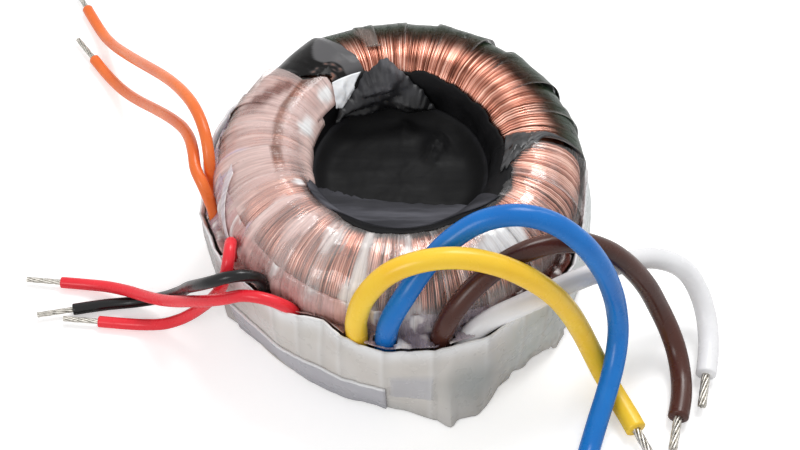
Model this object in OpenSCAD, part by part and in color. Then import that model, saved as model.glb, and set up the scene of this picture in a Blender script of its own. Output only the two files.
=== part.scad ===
// Toroidal transformer with flying leads, in millimetres.
// The ring lies flat on its insulation sheet: +Z is the ring's axis, the floor is z = 0,
// and the leads come out of the skirt in front (-Y) and at the left (-X).

/* [Core] */
// Outside diameter of the ring core
core_od = 41; // [39:0.5:52]
// Inside diameter of the ring core
core_id = 32; // [26:0.5:33]
// Height of the ring core
core_h = 16; // [12:0.5:22]
// Radius of the core's two outer edges
core_outer_edge = 3; // [1:0.1:3.4]
// Radius of the core's two inner edges
core_inner_edge = 0.5; // [0.3:0.1:1]

/* [Windings] */
// Thickness of the insulation on the core
core_film_t = 0.4; // [0.2:0.1:0.8]
// Build of the primary winding
primary_build = 0.8; // [0.5:0.1:1.6]
// Thickness of the barrier film between the windings
barrier_film_t = 0.3; // [0.1:0.1:0.6]
// Build of the secondary's inner layers
secondary_build = 0.5; // [0.3:0.1:1]
// Diameter of the drawn wire of the secondary's outer layer
wire_d = 1.4; // [0.8:0.1:1.5]
// Room between the outer layer of wire and what lies under it
wire_clearance = 0.1; // [0.05:0.05:0.2]
// Least room between neighbouring turns, in the hole
turn_clearance = 0.5; // [0.45:0.05:1]
// Most turns drawn on the back section
back_turns_most = 12; // [6:1:12]
// Most turns drawn on the front section
front_turns_most = 24; // [12:1:24]
// Direction of the gap between the sections at the left, in degrees
left_gap_at = 130; // [120:1:140]
// Width of the left gap, in degrees
left_gap_w = 24; // [16:1:30]
// Direction of the gap between the sections at the right, in degrees
right_gap_at = 3; // [-5:1:10]
// Width of the right gap, in degrees
right_gap_w = 12; // [10:1:20]

/* [Wrap] */
// Thickness of the clear film, in its lapped layers
film_t = 0.2; // [0.1:0.05:0.4]
// Room between the film and the wire
film_clearance = 0.1; // [0.05:0.05:0.2]
// Radius inside which the film leaves the back section bare
film_back_edge_r = 18.5; // [17.5:0.5:21]
// Radius inside which the film leaves the front section bare
film_front_edge_r = 16; // [13:0.5:18]
// Side length of the white insulation tab
tab_l = 3.4; // [2:0.1:5]
// Thickness of the white insulation tab
tab_t = 0.3; // [0.2:0.1:0.6]
// Lean of the white insulation tab towards the hole, in degrees
tab_lean = 36; // [0:1:36]

/* [Centre] */
// Wall of the black liner in the hole
liner_t = 0.6; // [0.4:0.1:1.2]
// Room between the liner and the wire, and between the resin and the liner
liner_clearance = 0.1; // [0.05:0.05:0.2]
// Depth of the liner's edge below the top of the film
liner_drop = 1; // [0.5:0.1:3]
// Depth of the resin below the top of the film
resin_depth = 8; // [4:0.5:12]
// Height of the ledge on the resin
ledge_h = 4.5; // [2:0.5:6]
// Distance from the ring's axis to the ledge
ledge_at = 5.8; // [3:0.1:9]
// Half the thickness of the fold of liner at the back of the hole
fold_r = 2.6; // [1.5:0.1:3]
// Direction of the fold's middle, in degrees
fold_at = 105; // [90:1:130]
// Angle that the fold takes up, in degrees
fold_span = 56; // [40:1:70]

/* [Skirt] */
// Thickness of the sheet that the ring stands on
base_t = 0.4; // [0.2:0.1:1]
// Thickness of the skirt's sheet
skirt_t = 0.35; // [0.2:0.05:0.6]
// Height of the skirt
skirt_h = 16; // [14:0.5:16]
// Room between the film and the skirt at its foot
foot_clearance = 0.85; // [0.5:0.05:1.5]
// Room between the film and the skirt's rim at the back
back_rim_clearance = 0.65; // [0.4:0.05:1.5]
// Room between a lead and the skirt's rim
lead_clearance = 0.1; // [0.05:0.05:0.4]
// Reach of the folded ear in front, past the skirt's foot
ear_l = 4.4; // [1:0.2:6]
// Direction of the folded ear, in degrees
ear_at = -76; // [-85:1:-60]
// Half the width of the folded ear, in degrees
ear_w = 17; // [10:1:24]
// Height of the second strip of sheet round the lower left
band_h = 5.4; // [2:0.2:6]
// Direction in which the second strip starts, in degrees
band_from = -172; // [-178:1:-160]
// Angle that the second strip covers, in degrees
band_span = 79; // [40:1:90]
// Height of the second strip's lower edge above the floor
band_lift = 0.3; // [0.2:0.1:1]
// Width of the pad under the skirt
pad_w = 5.2; // [3:0.2:8]
// Height of the pad under the skirt
pad_h = 5.4; // [3:0.2:5.6]
// Thickness of the pad under the skirt
pad_t = 0.6; // [0.4:0.1:0.7]
// Direction of the pad, in degrees
pad_at = -88; // [-96:1:-80]

/* [Leads] */
// Outside diameter of the thick leads
thick_d = 2.8; // [2.2:0.1:3.2]
// Diameter of the thick leads' stranded conductor
thick_core_d = 1.2; // [0.9:0.1:1.6]
// Outside diameter of the thin leads
thin_d = 1.6; // [1.2:0.1:2]
// Diameter of the thin leads' stranded conductor
thin_core_d = 0.8; // [0.5:0.1:1]
// Length of the stripped and tinned ends
strip_l = 5; // [3:0.5:8]
// Diameter of the sleeves over the splices
sleeve_d = 1.2; // [0.8:0.1:1.3]
// Depth of a lead's inner end below the skirt's rim
lead_tuck = 4; // [2:0.5:4]
// Length of the sleeves over the splices
sleeve_l = 6; // [4:0.5:6]

/* [Hidden] */
$fn = 96;

// How far each layer's outside stands from the core
core_film_out = core_film_t;
primary_out = core_film_out + primary_build;
barrier_out = primary_out + barrier_film_t;
secondary_out = barrier_out + secondary_build;
wire_mid = secondary_out + wire_clearance + wire_d/2;
wire_out = wire_mid + wire_d/2;
film_in = wire_out + film_clearance;
film_out = film_in + film_t;

// The ring's middle height, with its film on the base sheet
ring_z = base_t + film_out + core_h/2;
film_r = core_od/2 + film_out;
hole_r = core_id/2 - wire_out;
film_top = ring_z + core_h/2 + film_out;

// Where the winding sections and the film's two parts start, and how far they run
back_from = right_gap_at + right_gap_w/2;
back_span = left_gap_at - left_gap_w/2 - back_from;
front_from = left_gap_at + left_gap_w/2;
front_span = 360 + right_gap_at - right_gap_w/2 - front_from;

// Turns drawn on each section: as many as fit side by side in the hole
turn_pitch = 2*asin((wire_d + turn_clearance)/2/(core_id/2 - wire_mid));
back_turns = min(back_turns_most, floor(back_span/turn_pitch));
front_turns = min(front_turns_most, floor(front_span/turn_pitch));

// The fold's rings, the points on each, its lumps, how deep the dents between them go, and its blunt ends
fold_stations = 13;
fold_sides = 10;
fold_lumps = 3;
fold_dent = 0.24;
fold_tip = 0.1;

// Angle that a straight tail of wire takes up on the outside, to each side, with its room
tail_a = asin((wire_d/2 + wire_clearance)/(core_od/2 + wire_mid));
film_front_from = front_from + tail_a;
film_front_span = front_span - 2*tail_a;
film_back_from = right_gap_at - right_gap_w/2 + tail_a;
film_back_span = left_gap_at - left_gap_w/2 - tail_a - film_back_from;

// The hole's liner and resin
liner_r = hole_r - liner_clearance;
resin_r = liner_r - liner_t - liner_clearance;
resin_z = film_top - resin_depth;

// The skirt's outside radius, by direction and height
skirt_foot_r = film_r + foot_clearance + skirt_t;
rim_back_r = film_r + back_rim_clearance + skirt_t;
rim_thin_r = film_r + thin_d + 3*lead_clearance + skirt_t;
rim_thick_r = film_r + thick_d + 3*lead_clearance + skirt_t;
band_gap = 0.05;

// Directions between which all leads, and the thick ones, need a wider rim, and how softly it widens
leads_from = -206;
leads_to = -30;
thick_leads_from = -113;
thick_leads_to = -55;
rim_ease = 14;

// Directions past this one are counted back from a full turn, so that the leads' side is in one piece
rim_turn = 120;

// How soon the skirt reaches its full flare on the way up, and the steps that it is drawn in
flare_rate = 1.35;
skirt_steps = 120;
skirt_levels = [0, 0.25, 0.5, 0.75, 1];

// The leads' routes are written for a film of this radius and top, that curves in from this height on,
// and for leads of these diameters
drawn_r = 24.3;
drawn_top = 24;
drawn_shoulder = 17.2;
drawn_thick = 2.8;
drawn_thin = 1.6;
lie_thick = drawn_thick/2;
lie_thin = drawn_thin/2;
tuck_z = skirt_h - lead_tuck;
yellow_route = [[-5.4, -25.2, tuck_z], [-5.4, -25.2, 16], [-5.4, -25.2, 20], [-4.3, -24.8, 24.3],
    [-1.5, -24, 28], [2.5, -23.5, 30], [7, -23.2, 30.3], [11.5, -23.2, 29], [15.5, -23, 26],
    [18.8, -22.5, 21.8], [21.3, -21.8, 16.8], [23.3, -21.2, 11.5], [25, -21.2, 6.8],
    [26.6, -22.4, 3.6], [28.2, -24.6, 1.9], [29.6, -27.2, lie_thick], [30.8, -30, lie_thick]];
blue_route = [[-1.8, -25.7, tuck_z], [-1.8, -25.7, 16], [-1.2, -25.4, 20], [0.8, -23.8, 23.6],
    [3.3, -21.5, 26.5], [6.3, -19.7, 29.3], [10, -18.7, 31.7], [14.3, -18.4, 32.5], [18.5, -18.6, 31.2],
    [22.2, -19.2, 28], [25, -19.5, 23.3], [26.9, -19.4, 17.8], [28, -19.3, 12.8], [28.4, -20.4, 9.3],
    [28, -23, 6.8], [27, -26.2, 4.7], [25.8, -29.4, 2.8], [24.7, -32.6, 1.6], [23.7, -35.8, lie_thick]];
brown_route = [[5.2, -25.3, tuck_z], [5.2, -25.3, 16], [6.2, -24.9, 20], [8.8, -23.1, 23.3],
    [12.5, -20.8, 25.5], [16.8, -18.6, 26], [21.3, -16.8, 24.8], [25.5, -15.8, 22], [29, -15.3, 18],
    [32, -15.1, 13], [34.2, -15.4, 8.2], [35.9, -16.6, 4.7], [37, -18.8, 2.5], [37.4, -21.8, 1.5],
    [37.2, -25, lie_thick], [36.5, -28.2, lie_thick]];
white_route = [[8.2, -24.5, tuck_z], [8.3, -24.5, 14], [9.6, -24, 15.9], [12, -22.9, 17.1],
    [15.1, -21.6, 17.6], [18.5, -19.8, 17.7], [22, -17.6, 17.2], [25.5, -15.2, 16], [29, -12.8, 14.6],
    [32.5, -10.9, 13], [35.7, -10.2, 11.3], [38.3, -10, 8.7], [40.1, -10.9, 5.9], [41.2, -12.8, 3.6],
    [41.6, -15.5, 2.1], [41.4, -18.5, 1.5], [40.8, -21.6, lie_thick]];
red_front_route = [[-13.3, -21.4, tuck_z], [-13.3, -21.4, 14.4], [-13.7, -21.6, 16.7],
    [-15.2, -21.8, 18.5], [-17.4, -21.5, 19.3], [-19.9, -20.9, 18.9], [-22.3, -20.2, 17.2],
    [-24.9, -18.9, 14.8], [-27.4, -17.2, 12.2], [-29.8, -15.3, 9.4], [-32.2, -13.2, 6.7],
    [-34.7, -11, 4.4], [-37.4, -9, 2.7], [-40.4, -7.5, 1.5], [-43.6, -6.7, 0.9], [-46.8, -6.3, lie_thin]];
red_rear_route = [[-21.8, -12.7, tuck_z], [-21.8, -12.7, 14.2], [-21.8, -12.7, 16.4], [-21.7, -12.9, 18.5],
    [-21.6, -13.7, 20.3], [-21.6, -15.3, 21], [-21.8, -16.9, 20.3], [-22.2, -17.6, 18.5],
    [-22.8, -17.5, 16.3], [-23.5, -17, 14.1], [-24.3, -16.3, 11.9], [-25.2, -15.6, 9.7], [-26.4, -15, 7.5],
    [-27.9, -14.6, 5.4], [-29.8, -14.3, 3.5], [-32.2, -14, 2], [-35, -13.5, 1.1], [-38, -13.1, lie_thin],
    [-41, -12.8, lie_thin]];
black_route = [[-17.3, -18.3, tuck_z], [-17.3, -18.3, 14.6], [-17.3, -18.4, 17.2], [-17.9, -18.7, 19.5],
    [-19.6, -19.2, 20.9], [-21.7, -19.5, 20.9], [-23.7, -19.3, 19.7], [-25.3, -18.4, 17.8],
    [-26.6, -17, 15.4], [-27.7, -15.3, 12.6], [-28.8, -13.8, 9.7], [-30.1, -12.4, 7],
    [-31.8, -11.1, 4.3], [-34, -10.2, 2.3], [-36.6, -9.8, 1.1], [-39.3, -9.9, lie_thin],
    [-42, -10.3, lie_thin], [-44.7, -10.8, lie_thin]];
orange_upper_route = [[-25.1, -1.9, tuck_z], [-25.1, -1.9, 15], [-25.1, -1.7, 18], [-25.1, -0.6, 20.8],
    [-25.5, 1.6, 22.6], [-26.4, 4.4, 23.2], [-27.7, 7.4, 22.9], [-29.3, 10.5, 21.7], [-31.1, 13.8, 19.8],
    [-33, 17.2, 17.4], [-35, 20.7, 14.7], [-37, 24.3, 11.8], [-39, 28, 8.8], [-41, 31.7, 5.9],
    [-43, 35.3, 3.3], [-45, 38.8, 1.5], [-46.8, 42.1, 0.9], [-48.5, 45.3, lie_thin]];
orange_lower_route = [[-24.7, -4.9, tuck_z], [-24.7, -4.9, 14.8], [-25.1, -4.6, 17.2],
    [-25.9, -3.5, 19.2], [-26.9, -1.5, 20.1], [-27.4, 1.2, 20.3], [-28.1, 4, 19.6], [-29.2, 6.8, 18.3],
    [-30.7, 9.6, 16.5], [-32.4, 12.6, 14.2], [-34.2, 15.8, 11.5], [-36, 19, 8.7], [-37.9, 22.2, 6],
    [-39.9, 25.4, 3.6], [-42, 28.6, 1.8], [-44.2, 31.8, 0.9], [-46.4, 34.9, lie_thin]];
thin_routes = [orange_upper_route, orange_lower_route, red_front_route, red_rear_route, black_route];
thick_routes = [yellow_route, blue_route, brown_route, white_route];

// A route moved out and up with the ring, from its tucked end to where it lies on the floor
function laid(route, d, drawn_d) =
    let (
        grow = (film_r + d/2)/(drawn_r + drawn_d/2),
        rise = film_top - drawn_top,
        lie = drawn_d/2
    )
    [for (i = [0:len(route) - 1])
        let (up = route[i][2] - lie)
        [route[i][0]*grow, route[i][1]*grow,
         i == 0 ? tuck_z : d/2 + up + rise*min(1, up/(drawn_shoulder - lie))]];
function laid_thick(route) = laid(route, thick_d, drawn_thick);
function laid_thin(route) = laid(route, thin_d, drawn_thin);

// Right half of a disc
module half_disc(r) {
    intersection() {
        circle(r);
        translate([0, -r]) square([r, 2*r]);
    }
}

// Section of the ring at a distance out from the core: a rectangle with rounded corners
module ring_section(out) {
    half_h = core_h/2 + out;
    inner = core_id/2 - out;
    outer = core_od/2 + out;
    round_out = core_outer_edge + out;
    round_in = core_inner_edge + out;
    translate([0, ring_z]) {
        for (side = [-1, 1]) {
            translate([outer - round_out, side*(half_h - round_out)]) half_disc(round_out);
            translate([inner + round_in, side*(half_h - round_in)]) mirror([1, 0]) half_disc(round_in);
        }
        polygon([[inner, round_in - half_h], [inner + round_in, -half_h], [outer - round_out, -half_h],
                 [outer, round_out - half_h], [outer, half_h - round_out], [outer - round_out, half_h],
                 [inner + round_in, half_h], [inner, half_h - round_in]]);
    }
}

// A closed layer round the whole ring, between two distances from the core
module ring_layer(from, to) {
    rotate_extrude() difference() {
        ring_section(to);
        ring_section(from);
    }
}

module ring_core() {
    color("#6b6d70") rotate_extrude() ring_section(0);
}

module core_insulation() {
    color("#d8c9a0") ring_layer(0, core_film_out);
}

module primary_winding() {
    color("#a4583a") ring_layer(core_film_out, primary_out);
}

module barrier_film() {
    color("#e6dcb4") ring_layer(primary_out, barrier_out);
}

module secondary_layers() {
    color("#b9714f") ring_layer(barrier_out, secondary_out);
}

// One turn's corners, as the wire's middle line meets them, with the corner's radius and first angle
wire_half_h = core_h/2 + wire_mid;
wire_inner = core_id/2 - wire_mid;
wire_outer = core_od/2 + wire_mid;
wire_round_out = core_outer_edge + wire_mid;
wire_round_in = core_inner_edge + wire_mid;
turn_corners = [
    [wire_outer - wire_round_out, wire_half_h - wire_round_out, wire_round_out, 0],
    [wire_inner + wire_round_in, wire_half_h - wire_round_in, wire_round_in, 90],
    [wire_inner + wire_round_in, wire_round_in - wire_half_h, wire_round_in, 180],
    [wire_outer - wire_round_out, wire_round_out - wire_half_h, wire_round_out, 270]];
corner_steps = 4;
turn_section = [for (c = turn_corners) for (k = [0:corner_steps])
    [c[0] + c[2]*cos(c[3] + 90*k/corner_steps), c[1] + c[2]*sin(c[3] + 90*k/corner_steps)]];
turn_rings = len(turn_section);

// Middle line of a winding: it climbs the outside, crosses the top and goes down the hole, turning
// steadily round the ring, and each end runs straight down the outside to the base sheet
function winding_line(from, span, turns) =
    let (
        first = turn_section[0],
        pitch = span/turns,
        at = function (r, z, a) [r*cos(a), r*sin(a), ring_z + z],
        steps = turns*turn_rings,
        foot = base_t - ring_z,
        low = turn_section[turn_rings - 1][1]
    )
    concat(
        [at(first[0], foot, from), at(first[0], low/2 + foot/2, from)],
        [for (i = [0:steps - 1])
            let (p = turn_section[i % turn_rings]) at(p[0], p[1], from + pitch*i/turn_rings)],
        [at(first[0], low/2 + foot/2, from + span), at(first[0], foot, from + span)]);

function unit(v) = v/norm(v);

// Directions along a line of points
function headings(line) = [for (i = [0:len(line) - 1])
    unit(line[min(i + 1, len(line) - 1)] - line[max(i - 1, 0)])];

// A first normal, and the normals carried along the line without twist
function any_normal(t) = unit(cross(t, abs(t[0]) < 0.8 ? [1, 0, 0] : [0, 1, 0]));
function carried(ts, i, n, out) = i == len(ts) ? out
    : let (m = unit(n - (n*ts[i])*ts[i])) carried(ts, i + 1, m, concat(out, [m]));

// A closed form through rings of points, each with as many points as the next
module loft(rings) {
    sides = len(rings[0]);
    count = len(rings);
    skin = [for (i = [0:count - 2]) for (k = [0:sides - 1])
        let (a = i*sides + k, b = i*sides + (k + 1) % sides)
            each [[a, a + sides, b], [b, a + sides, b + sides]]];
    start = [for (k = [1:sides - 2]) [0, k, k + 1]];
    last = (count - 1)*sides;
    end = [for (k = [1:sides - 2]) [last, last + k + 1, last + k]];
    polyhedron([for (ring = rings) each ring], concat(skin, start, end));
}

// A round tube with flat ends along a line of points
module tube(line, d, sides) {
    ts = headings(line);
    ns = carried(ts, 0, any_normal(ts[0]), []);
    loft([for (i = [0:len(line) - 1]) [for (k = [0:sides - 1])
        line[i] + d/2*(cos(360*k/sides)*ns[i] + sin(360*k/sides)*cross(ts[i], ns[i]))]]);
}

module winding(from, span, turns) {
    tube(winding_line(from, span, turns), wire_d, 6);
}

module winding_back() {
    color("#c87f5a") winding(back_from, back_span, back_turns);
}

module winding_front() {
    color("#c87f5a") winding(front_from, front_span, front_turns);
}

// Least gap between neighbouring turns, on the points of their middle lines
function least_gap(line) = min([for (i = [0:len(line) - turn_rings])
    min([for (j = [i + floor(turn_rings/2):min(i + 3*turn_rings/2, len(line) - 1)])
        norm(line[i] - line[j])])]) - wire_d;
echo(back_winding_gap = least_gap(winding_line(back_from, back_span, back_turns)));
echo(front_winding_gap = least_gap(winding_line(front_from, front_span, front_turns)));

// A stretch of a layer round the ring, from one direction on
module ring_stretch(from, span) {
    rotate([0, 0, from]) rotate_extrude(angle = span) children();
}

module film_section() {
    difference() {
        ring_section(film_out);
        ring_section(film_in);
    }
}

module film_stretch(from, span, edge_r) {
    ring_stretch(from, span) intersection() {
        film_section();
        translate([edge_r, 0]) square([film_r, 2*film_top]);
    }
}

module film_front() {
    color("#efe2dd", 0.5) film_stretch(film_front_from, film_front_span, film_front_edge_r);
}

// The film of the back section laps the right gap, and is slit for the wire's tail below the skirt's rim
module film_back() {
    color("#cfd2c4", 0.5) difference() {
        film_stretch(film_back_from, film_back_span, film_back_edge_r);
        rotate([0, 0, back_from]) translate([film_back_edge_r, -wire_d/2 - wire_clearance, 0])
            cube([film_r, wire_d + 2*wire_clearance, ring_z]);
    }
}

// A strip laid in a gap between the winding sections, over the outside, the top and the hole's edge
module gap_strip(at, w, reach_r) {
    ring_stretch(at - w/2 + tail_a, w - 2*tail_a) intersection() {
        difference() {
            ring_section(wire_out);
            ring_section(secondary_out + wire_clearance);
        }
        translate([0, ring_z]) square([reach_r, film_top]);
    }
}

module gap_strip_left() {
    color("#2b2b2d") gap_strip(left_gap_at, left_gap_w, film_r);
}

module gap_strip_right() {
    color("#232326") gap_strip(right_gap_at, right_gap_w, film_back_edge_r);
}

// The tab lies on the rounded inner edge of the left strip
module insulation_tab() {
    edge = core_inner_edge + wire_out;
    color("#e8eaee") rotate([0, 0, left_gap_at])
        translate([hole_r + edge, 0, ring_z + core_h/2 - core_inner_edge]) rotate([0, -tab_lean, 0])
            translate([-tab_l/2, -tab_l/2, edge + wire_clearance]) cube([tab_l, tab_l, tab_t]);
}

module hole_liner() {
    color("#1d1d20") translate([0, 0, base_t]) difference() {
        cylinder(h = film_top - liner_drop - base_t, r = liner_r);
        translate([0, 0, -1]) cylinder(h = film_top, r = liner_r - liner_t);
    }
}

// Folds of the liner that lean in over the resin at the back left
// Half the fold's thickness along its length, from 0 to 1: it swells into lumps and narrows to its ends
function fold_half(t) = fold_r*sqrt(max(fold_tip, 1 - pow(2*t - 1, 2)))
    *(1 - fold_dent*(1 + cos(360*fold_lumps*t))/2);

module liner_fold() {
    middle_r = liner_r - liner_t - liner_clearance - fold_r;
    middle_z = film_top - liner_drop - fold_r;
    rings = [for (i = [0:fold_stations - 1])
        let (t = i/(fold_stations - 1), a = fold_at + fold_span*(t - 0.5))
        [for (j = [0:fold_sides - 1])
            let (b = 360*j/fold_sides, r = middle_r + fold_half(t)*cos(b))
            [r*cos(a), r*sin(a), middle_z - fold_half(t)*sin(b)]]];
    color("#29292c") loft(rings);
}

module resin_fill() {
    color("#26262a") translate([0, 0, base_t]) {
        cylinder(h = resin_z - base_t, r = resin_r);
        intersection() {
            cylinder(h = resin_z + ledge_h - base_t, r = resin_r);
            translate([-resin_r, -2*resin_r - ledge_at, 0]) cube([2*resin_r, 2*resin_r, film_top]);
        }
    }
}

module base_sheet() {
    color("#d3cfc8") cylinder(h = base_t, r = film_r + foot_clearance/2);
}

// Smooth step from 0 to 1, a plateau between two directions, and a peak at one
function ease(x) = let (t = max(0, min(1, x))) t*t*(3 - 2*t);
function plateau(a, from, to) = ease((a - from)/rim_ease + 0.5)*ease((to - a)/rim_ease + 0.5);
function peak(a, at, w) = max(0, 1 - abs(a - at)/w);
function turned(a) = a > rim_turn ? a - 360 : a;

// The skirt flares from its round foot to a rim that makes room for the leads
function rim_r(a) = rim_back_r
    + (rim_thin_r - rim_back_r)*plateau(a, leads_from, leads_to)
    + (rim_thick_r - rim_thin_r)*plateau(a, thick_leads_from, thick_leads_to);
function skirt_r(a, level) = skirt_foot_r + (rim_r(a) - skirt_foot_r)*sin(90*min(1, flare_rate*level))
    + ear_l*peak(a, ear_at, ear_w)*pow(1 - level, 2);

// A sheet on the skirt's surface: from one direction on, between two heights and two offsets
module skirt_sheet(from, span, low, high, inside, outside) {
    closed = span == 360;
    steps = round(skirt_steps*span/360);
    stations = closed ? steps : steps + 1;
    levels = [for (s = skirt_levels) (low + s*(high - low))/skirt_h];
    loop = concat([for (s = levels) [s, outside]], [for (s = levels) [(low + high)/skirt_h - s, inside]]);
    m = len(loop);
    points = [for (i = [0:stations - 1]) let (a = turned(from + span*i/steps)) for (q = loop)
        let (r = skirt_r(a, q[0]) + q[1]) [r*cos(a), r*sin(a), q[0]*skirt_h]];
    skin = [for (i = [0:steps - 1]) for (k = [0:m - 1])
        let (a = i*m + k, b = i*m + (k + 1) % m, c = (i + 1) % stations*m + k,
             d = (i + 1) % stations*m + (k + 1) % m)
            each [[a, b, c], [b, d, c]]];
    end = (stations - 1)*m;
    caps = closed ? [] : concat([for (k = [1:m - 2]) [0, k + 1, k]],
                                [for (k = [1:m - 2]) [end, end + k, end + k + 1]]);
    polyhedron(points, concat(skin, caps));
}

module skirt() {
    color("#c7c2ba") skirt_sheet(0, 360, 0, skirt_h, -skirt_t, 0);
}

module skirt_band() {
    color("#adacb3") skirt_sheet(band_from, band_span, band_lift, band_h, band_gap, band_gap + skirt_t);
}

module splice_pad() {
    color("#bdb8b0") rotate([0, 0, pad_at]) translate([film_r + lead_clearance, -pad_w/2, base_t])
        cube([pad_t, pad_w, pad_h]);
}

// Sleeves over the splices, one under each lead's inner end
module splice_sleeves() {
    color("#e2ddd4") for (route = concat(thick_routes, thin_routes)) {
        a = atan2(route[0][1], route[0][0]);
        r = film_r + lead_clearance + sleeve_d/2;
        translate([r*cos(a), r*sin(a), tuck_z - sleeve_l]) cylinder(h = sleeve_l, d = sleeve_d);
    }
}

module thick_lead(route) {
    tube(laid_thick(route), thick_d, 8);
}

module thin_lead(route) {
    tube(laid_thin(route), thin_d, 8);
}

// The stripped, tinned conductor that runs on from the end of a lead
module lead_end(route, d) {
    last = route[len(route) - 1];
    along = last - route[len(route) - 2];
    translate(last) rotate([0, acos(unit(along)[2]), atan2(along[1], along[0])])
        cylinder(h = strip_l, d = d);
}

module lead_yellow() {
    color("#f6c93f") thick_lead(yellow_route);
}

module lead_blue() {
    color("#1f66b8") thick_lead(blue_route);
}

module lead_brown() {
    color("#5b352b") thick_lead(brown_route);
}

module lead_white() {
    color("#eeeef2") thick_lead(white_route);
}

module lead_orange_upper() {
    color("#ee7446") thin_lead(orange_upper_route);
}

module lead_orange_lower() {
    color("#ee7446") thin_lead(orange_lower_route);
}

module lead_red_front() {
    color("#e23b44") thin_lead(red_front_route);
}

module lead_red_rear() {
    color("#e23b44") thin_lead(red_rear_route);
}

module lead_black() {
    color("#1b1b1d") thin_lead(black_route);
}

module end_yellow() {
    color("#c9c6bf") lead_end(laid_thick(yellow_route), thick_core_d);
}

module end_blue() {
    color("#c9c6bf") lead_end(laid_thick(blue_route), thick_core_d);
}

module end_brown() {
    color("#c9c6bf") lead_end(laid_thick(brown_route), thick_core_d);
}

module end_white() {
    color("#c9c6bf") lead_end(laid_thick(white_route), thick_core_d);
}

module end_orange_upper() {
    color("#c9c6bf") lead_end(laid_thin(orange_upper_route), thin_core_d);
}

module end_orange_lower() {
    color("#c9c6bf") lead_end(laid_thin(orange_lower_route), thin_core_d);
}

module end_red_front() {
    color("#c9c6bf") lead_end(laid_thin(red_front_route), thin_core_d);
}

module end_red_rear() {
    color("#c9c6bf") lead_end(laid_thin(red_rear_route), thin_core_d);
}

module end_black() {
    color("#c9c6bf") lead_end(laid_thin(black_route), thin_core_d);
}

ring_core();
core_insulation();
primary_winding();
barrier_film();
secondary_layers();
winding_back();
winding_front();
film_back();
film_front();
gap_strip_left();
gap_strip_right();
insulation_tab();
hole_liner();
liner_fold();
resin_fill();
base_sheet();
skirt();
skirt_band();
splice_pad();
splice_sleeves();
lead_yellow();
lead_blue();
lead_brown();
lead_white();
lead_orange_upper();
lead_orange_lower();
lead_red_front();
lead_red_rear();
lead_black();
end_yellow();
end_blue();
end_brown();
end_white();
end_orange_upper();
end_orange_lower();
end_red_front();
end_red_rear();
end_black();
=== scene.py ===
import math
import random

import bpy
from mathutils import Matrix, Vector, noise


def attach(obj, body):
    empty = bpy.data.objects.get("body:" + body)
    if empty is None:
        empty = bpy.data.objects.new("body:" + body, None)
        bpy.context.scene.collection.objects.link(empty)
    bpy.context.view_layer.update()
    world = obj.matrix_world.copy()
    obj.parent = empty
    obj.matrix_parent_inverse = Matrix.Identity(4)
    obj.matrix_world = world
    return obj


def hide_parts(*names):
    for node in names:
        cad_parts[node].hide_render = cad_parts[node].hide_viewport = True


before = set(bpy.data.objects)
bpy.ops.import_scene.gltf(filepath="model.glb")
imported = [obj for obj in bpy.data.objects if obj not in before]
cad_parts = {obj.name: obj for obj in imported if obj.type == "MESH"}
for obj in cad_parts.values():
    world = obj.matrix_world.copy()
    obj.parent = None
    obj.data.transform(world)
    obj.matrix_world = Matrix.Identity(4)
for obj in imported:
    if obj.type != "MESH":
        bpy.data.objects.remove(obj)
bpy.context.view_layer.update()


# Studio: the part lies on a white floor in a white room. A strong lamp hangs behind it, and weaker
# ones stand at the right back and the left front. The camera looks down at it from the front.
def feed(tree, node, inputs):
    """Links a node's inputs to what other nodes give, or sets them to plain values."""
    for socket, value in inputs.items():
        if isinstance(value, bpy.types.NodeSocket):
            tree.links.new(value, node.inputs[socket])
        else:
            node.inputs[socket].default_value = value


def put(tree, kind, inputs=None, **settings):
    """Adds a node to a shader or geometry tree, with its settings, values and links."""
    node = tree.nodes.new(kind)
    for name, value in settings.items():
        setattr(node, name, value)
    feed(tree, node, inputs or {})
    return node


def calc(tree, operation, *values):
    """A sum on numbers."""
    return put(tree, "ShaderNodeMath", dict(enumerate(values)), operation=operation).outputs[0]


def new_finish(name):
    """A material with its node tree and its main shader."""
    material = bpy.data.materials.new(name)
    material.use_nodes = True
    return material, material.node_tree, material.node_tree.nodes["Principled BSDF"]


def screen(red, green, blue):
    """A colour as it shows on a screen, from 0 to 255, as the light that a surface gives back."""
    parts = [c/255 for c in (red, green, blue)]
    return tuple(c/12.92 if c <= 0.04045 else ((c + 0.055)/1.055)**2.4 for c in parts) + (1.0,)


scene = bpy.context.scene
scene.view_settings.view_transform = "Standard"

floor_half, floor_drop = 4.0, -0.0002
floor_mesh = bpy.data.meshes.new("floor")
floor_mesh.from_pydata([(x, y, floor_drop) for x, y in (
    (-floor_half, -floor_half), (floor_half, -floor_half),
    (floor_half, floor_half), (-floor_half, floor_half))], [], [(0, 1, 2, 3)])
floor = bpy.data.objects.new("floor", floor_mesh)
scene.collection.objects.link(floor)
white, floor_white, floor_glow = (1, 1, 1, 1), (0.93, 0.93, 0.93, 1), 0.4
floor_paint, tree, shader = new_finish("white floor paint")
seen = put(tree, "ShaderNodeLightPath").outputs["Is Camera Ray"]
feed(tree, shader, {
    "Base Color": floor_white, "Roughness": 0.8, "Specular IOR Level": 0.2, "Emission Color": white,
    "Emission Strength": calc(tree, "MULTIPLY", seen, floor_glow)})
floor_mesh.materials.append(floor_paint)

room = bpy.data.worlds.new("white room")
scene.world = room
room.use_nodes = True
tree = room.node_tree
room_light, room_seen = 0.5, 1.0
path = put(tree, "ShaderNodeLightPath").outputs
direct = calc(tree, "MAXIMUM", path["Is Camera Ray"], path["Is Glossy Ray"])
direct = calc(tree, "MAXIMUM", direct, path["Is Transmission Ray"])
feed(tree, tree.nodes["Background"], {
    "Color": white,
    "Strength": calc(tree, "MULTIPLY_ADD", direct, room_seen - room_light, room_light)})


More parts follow.
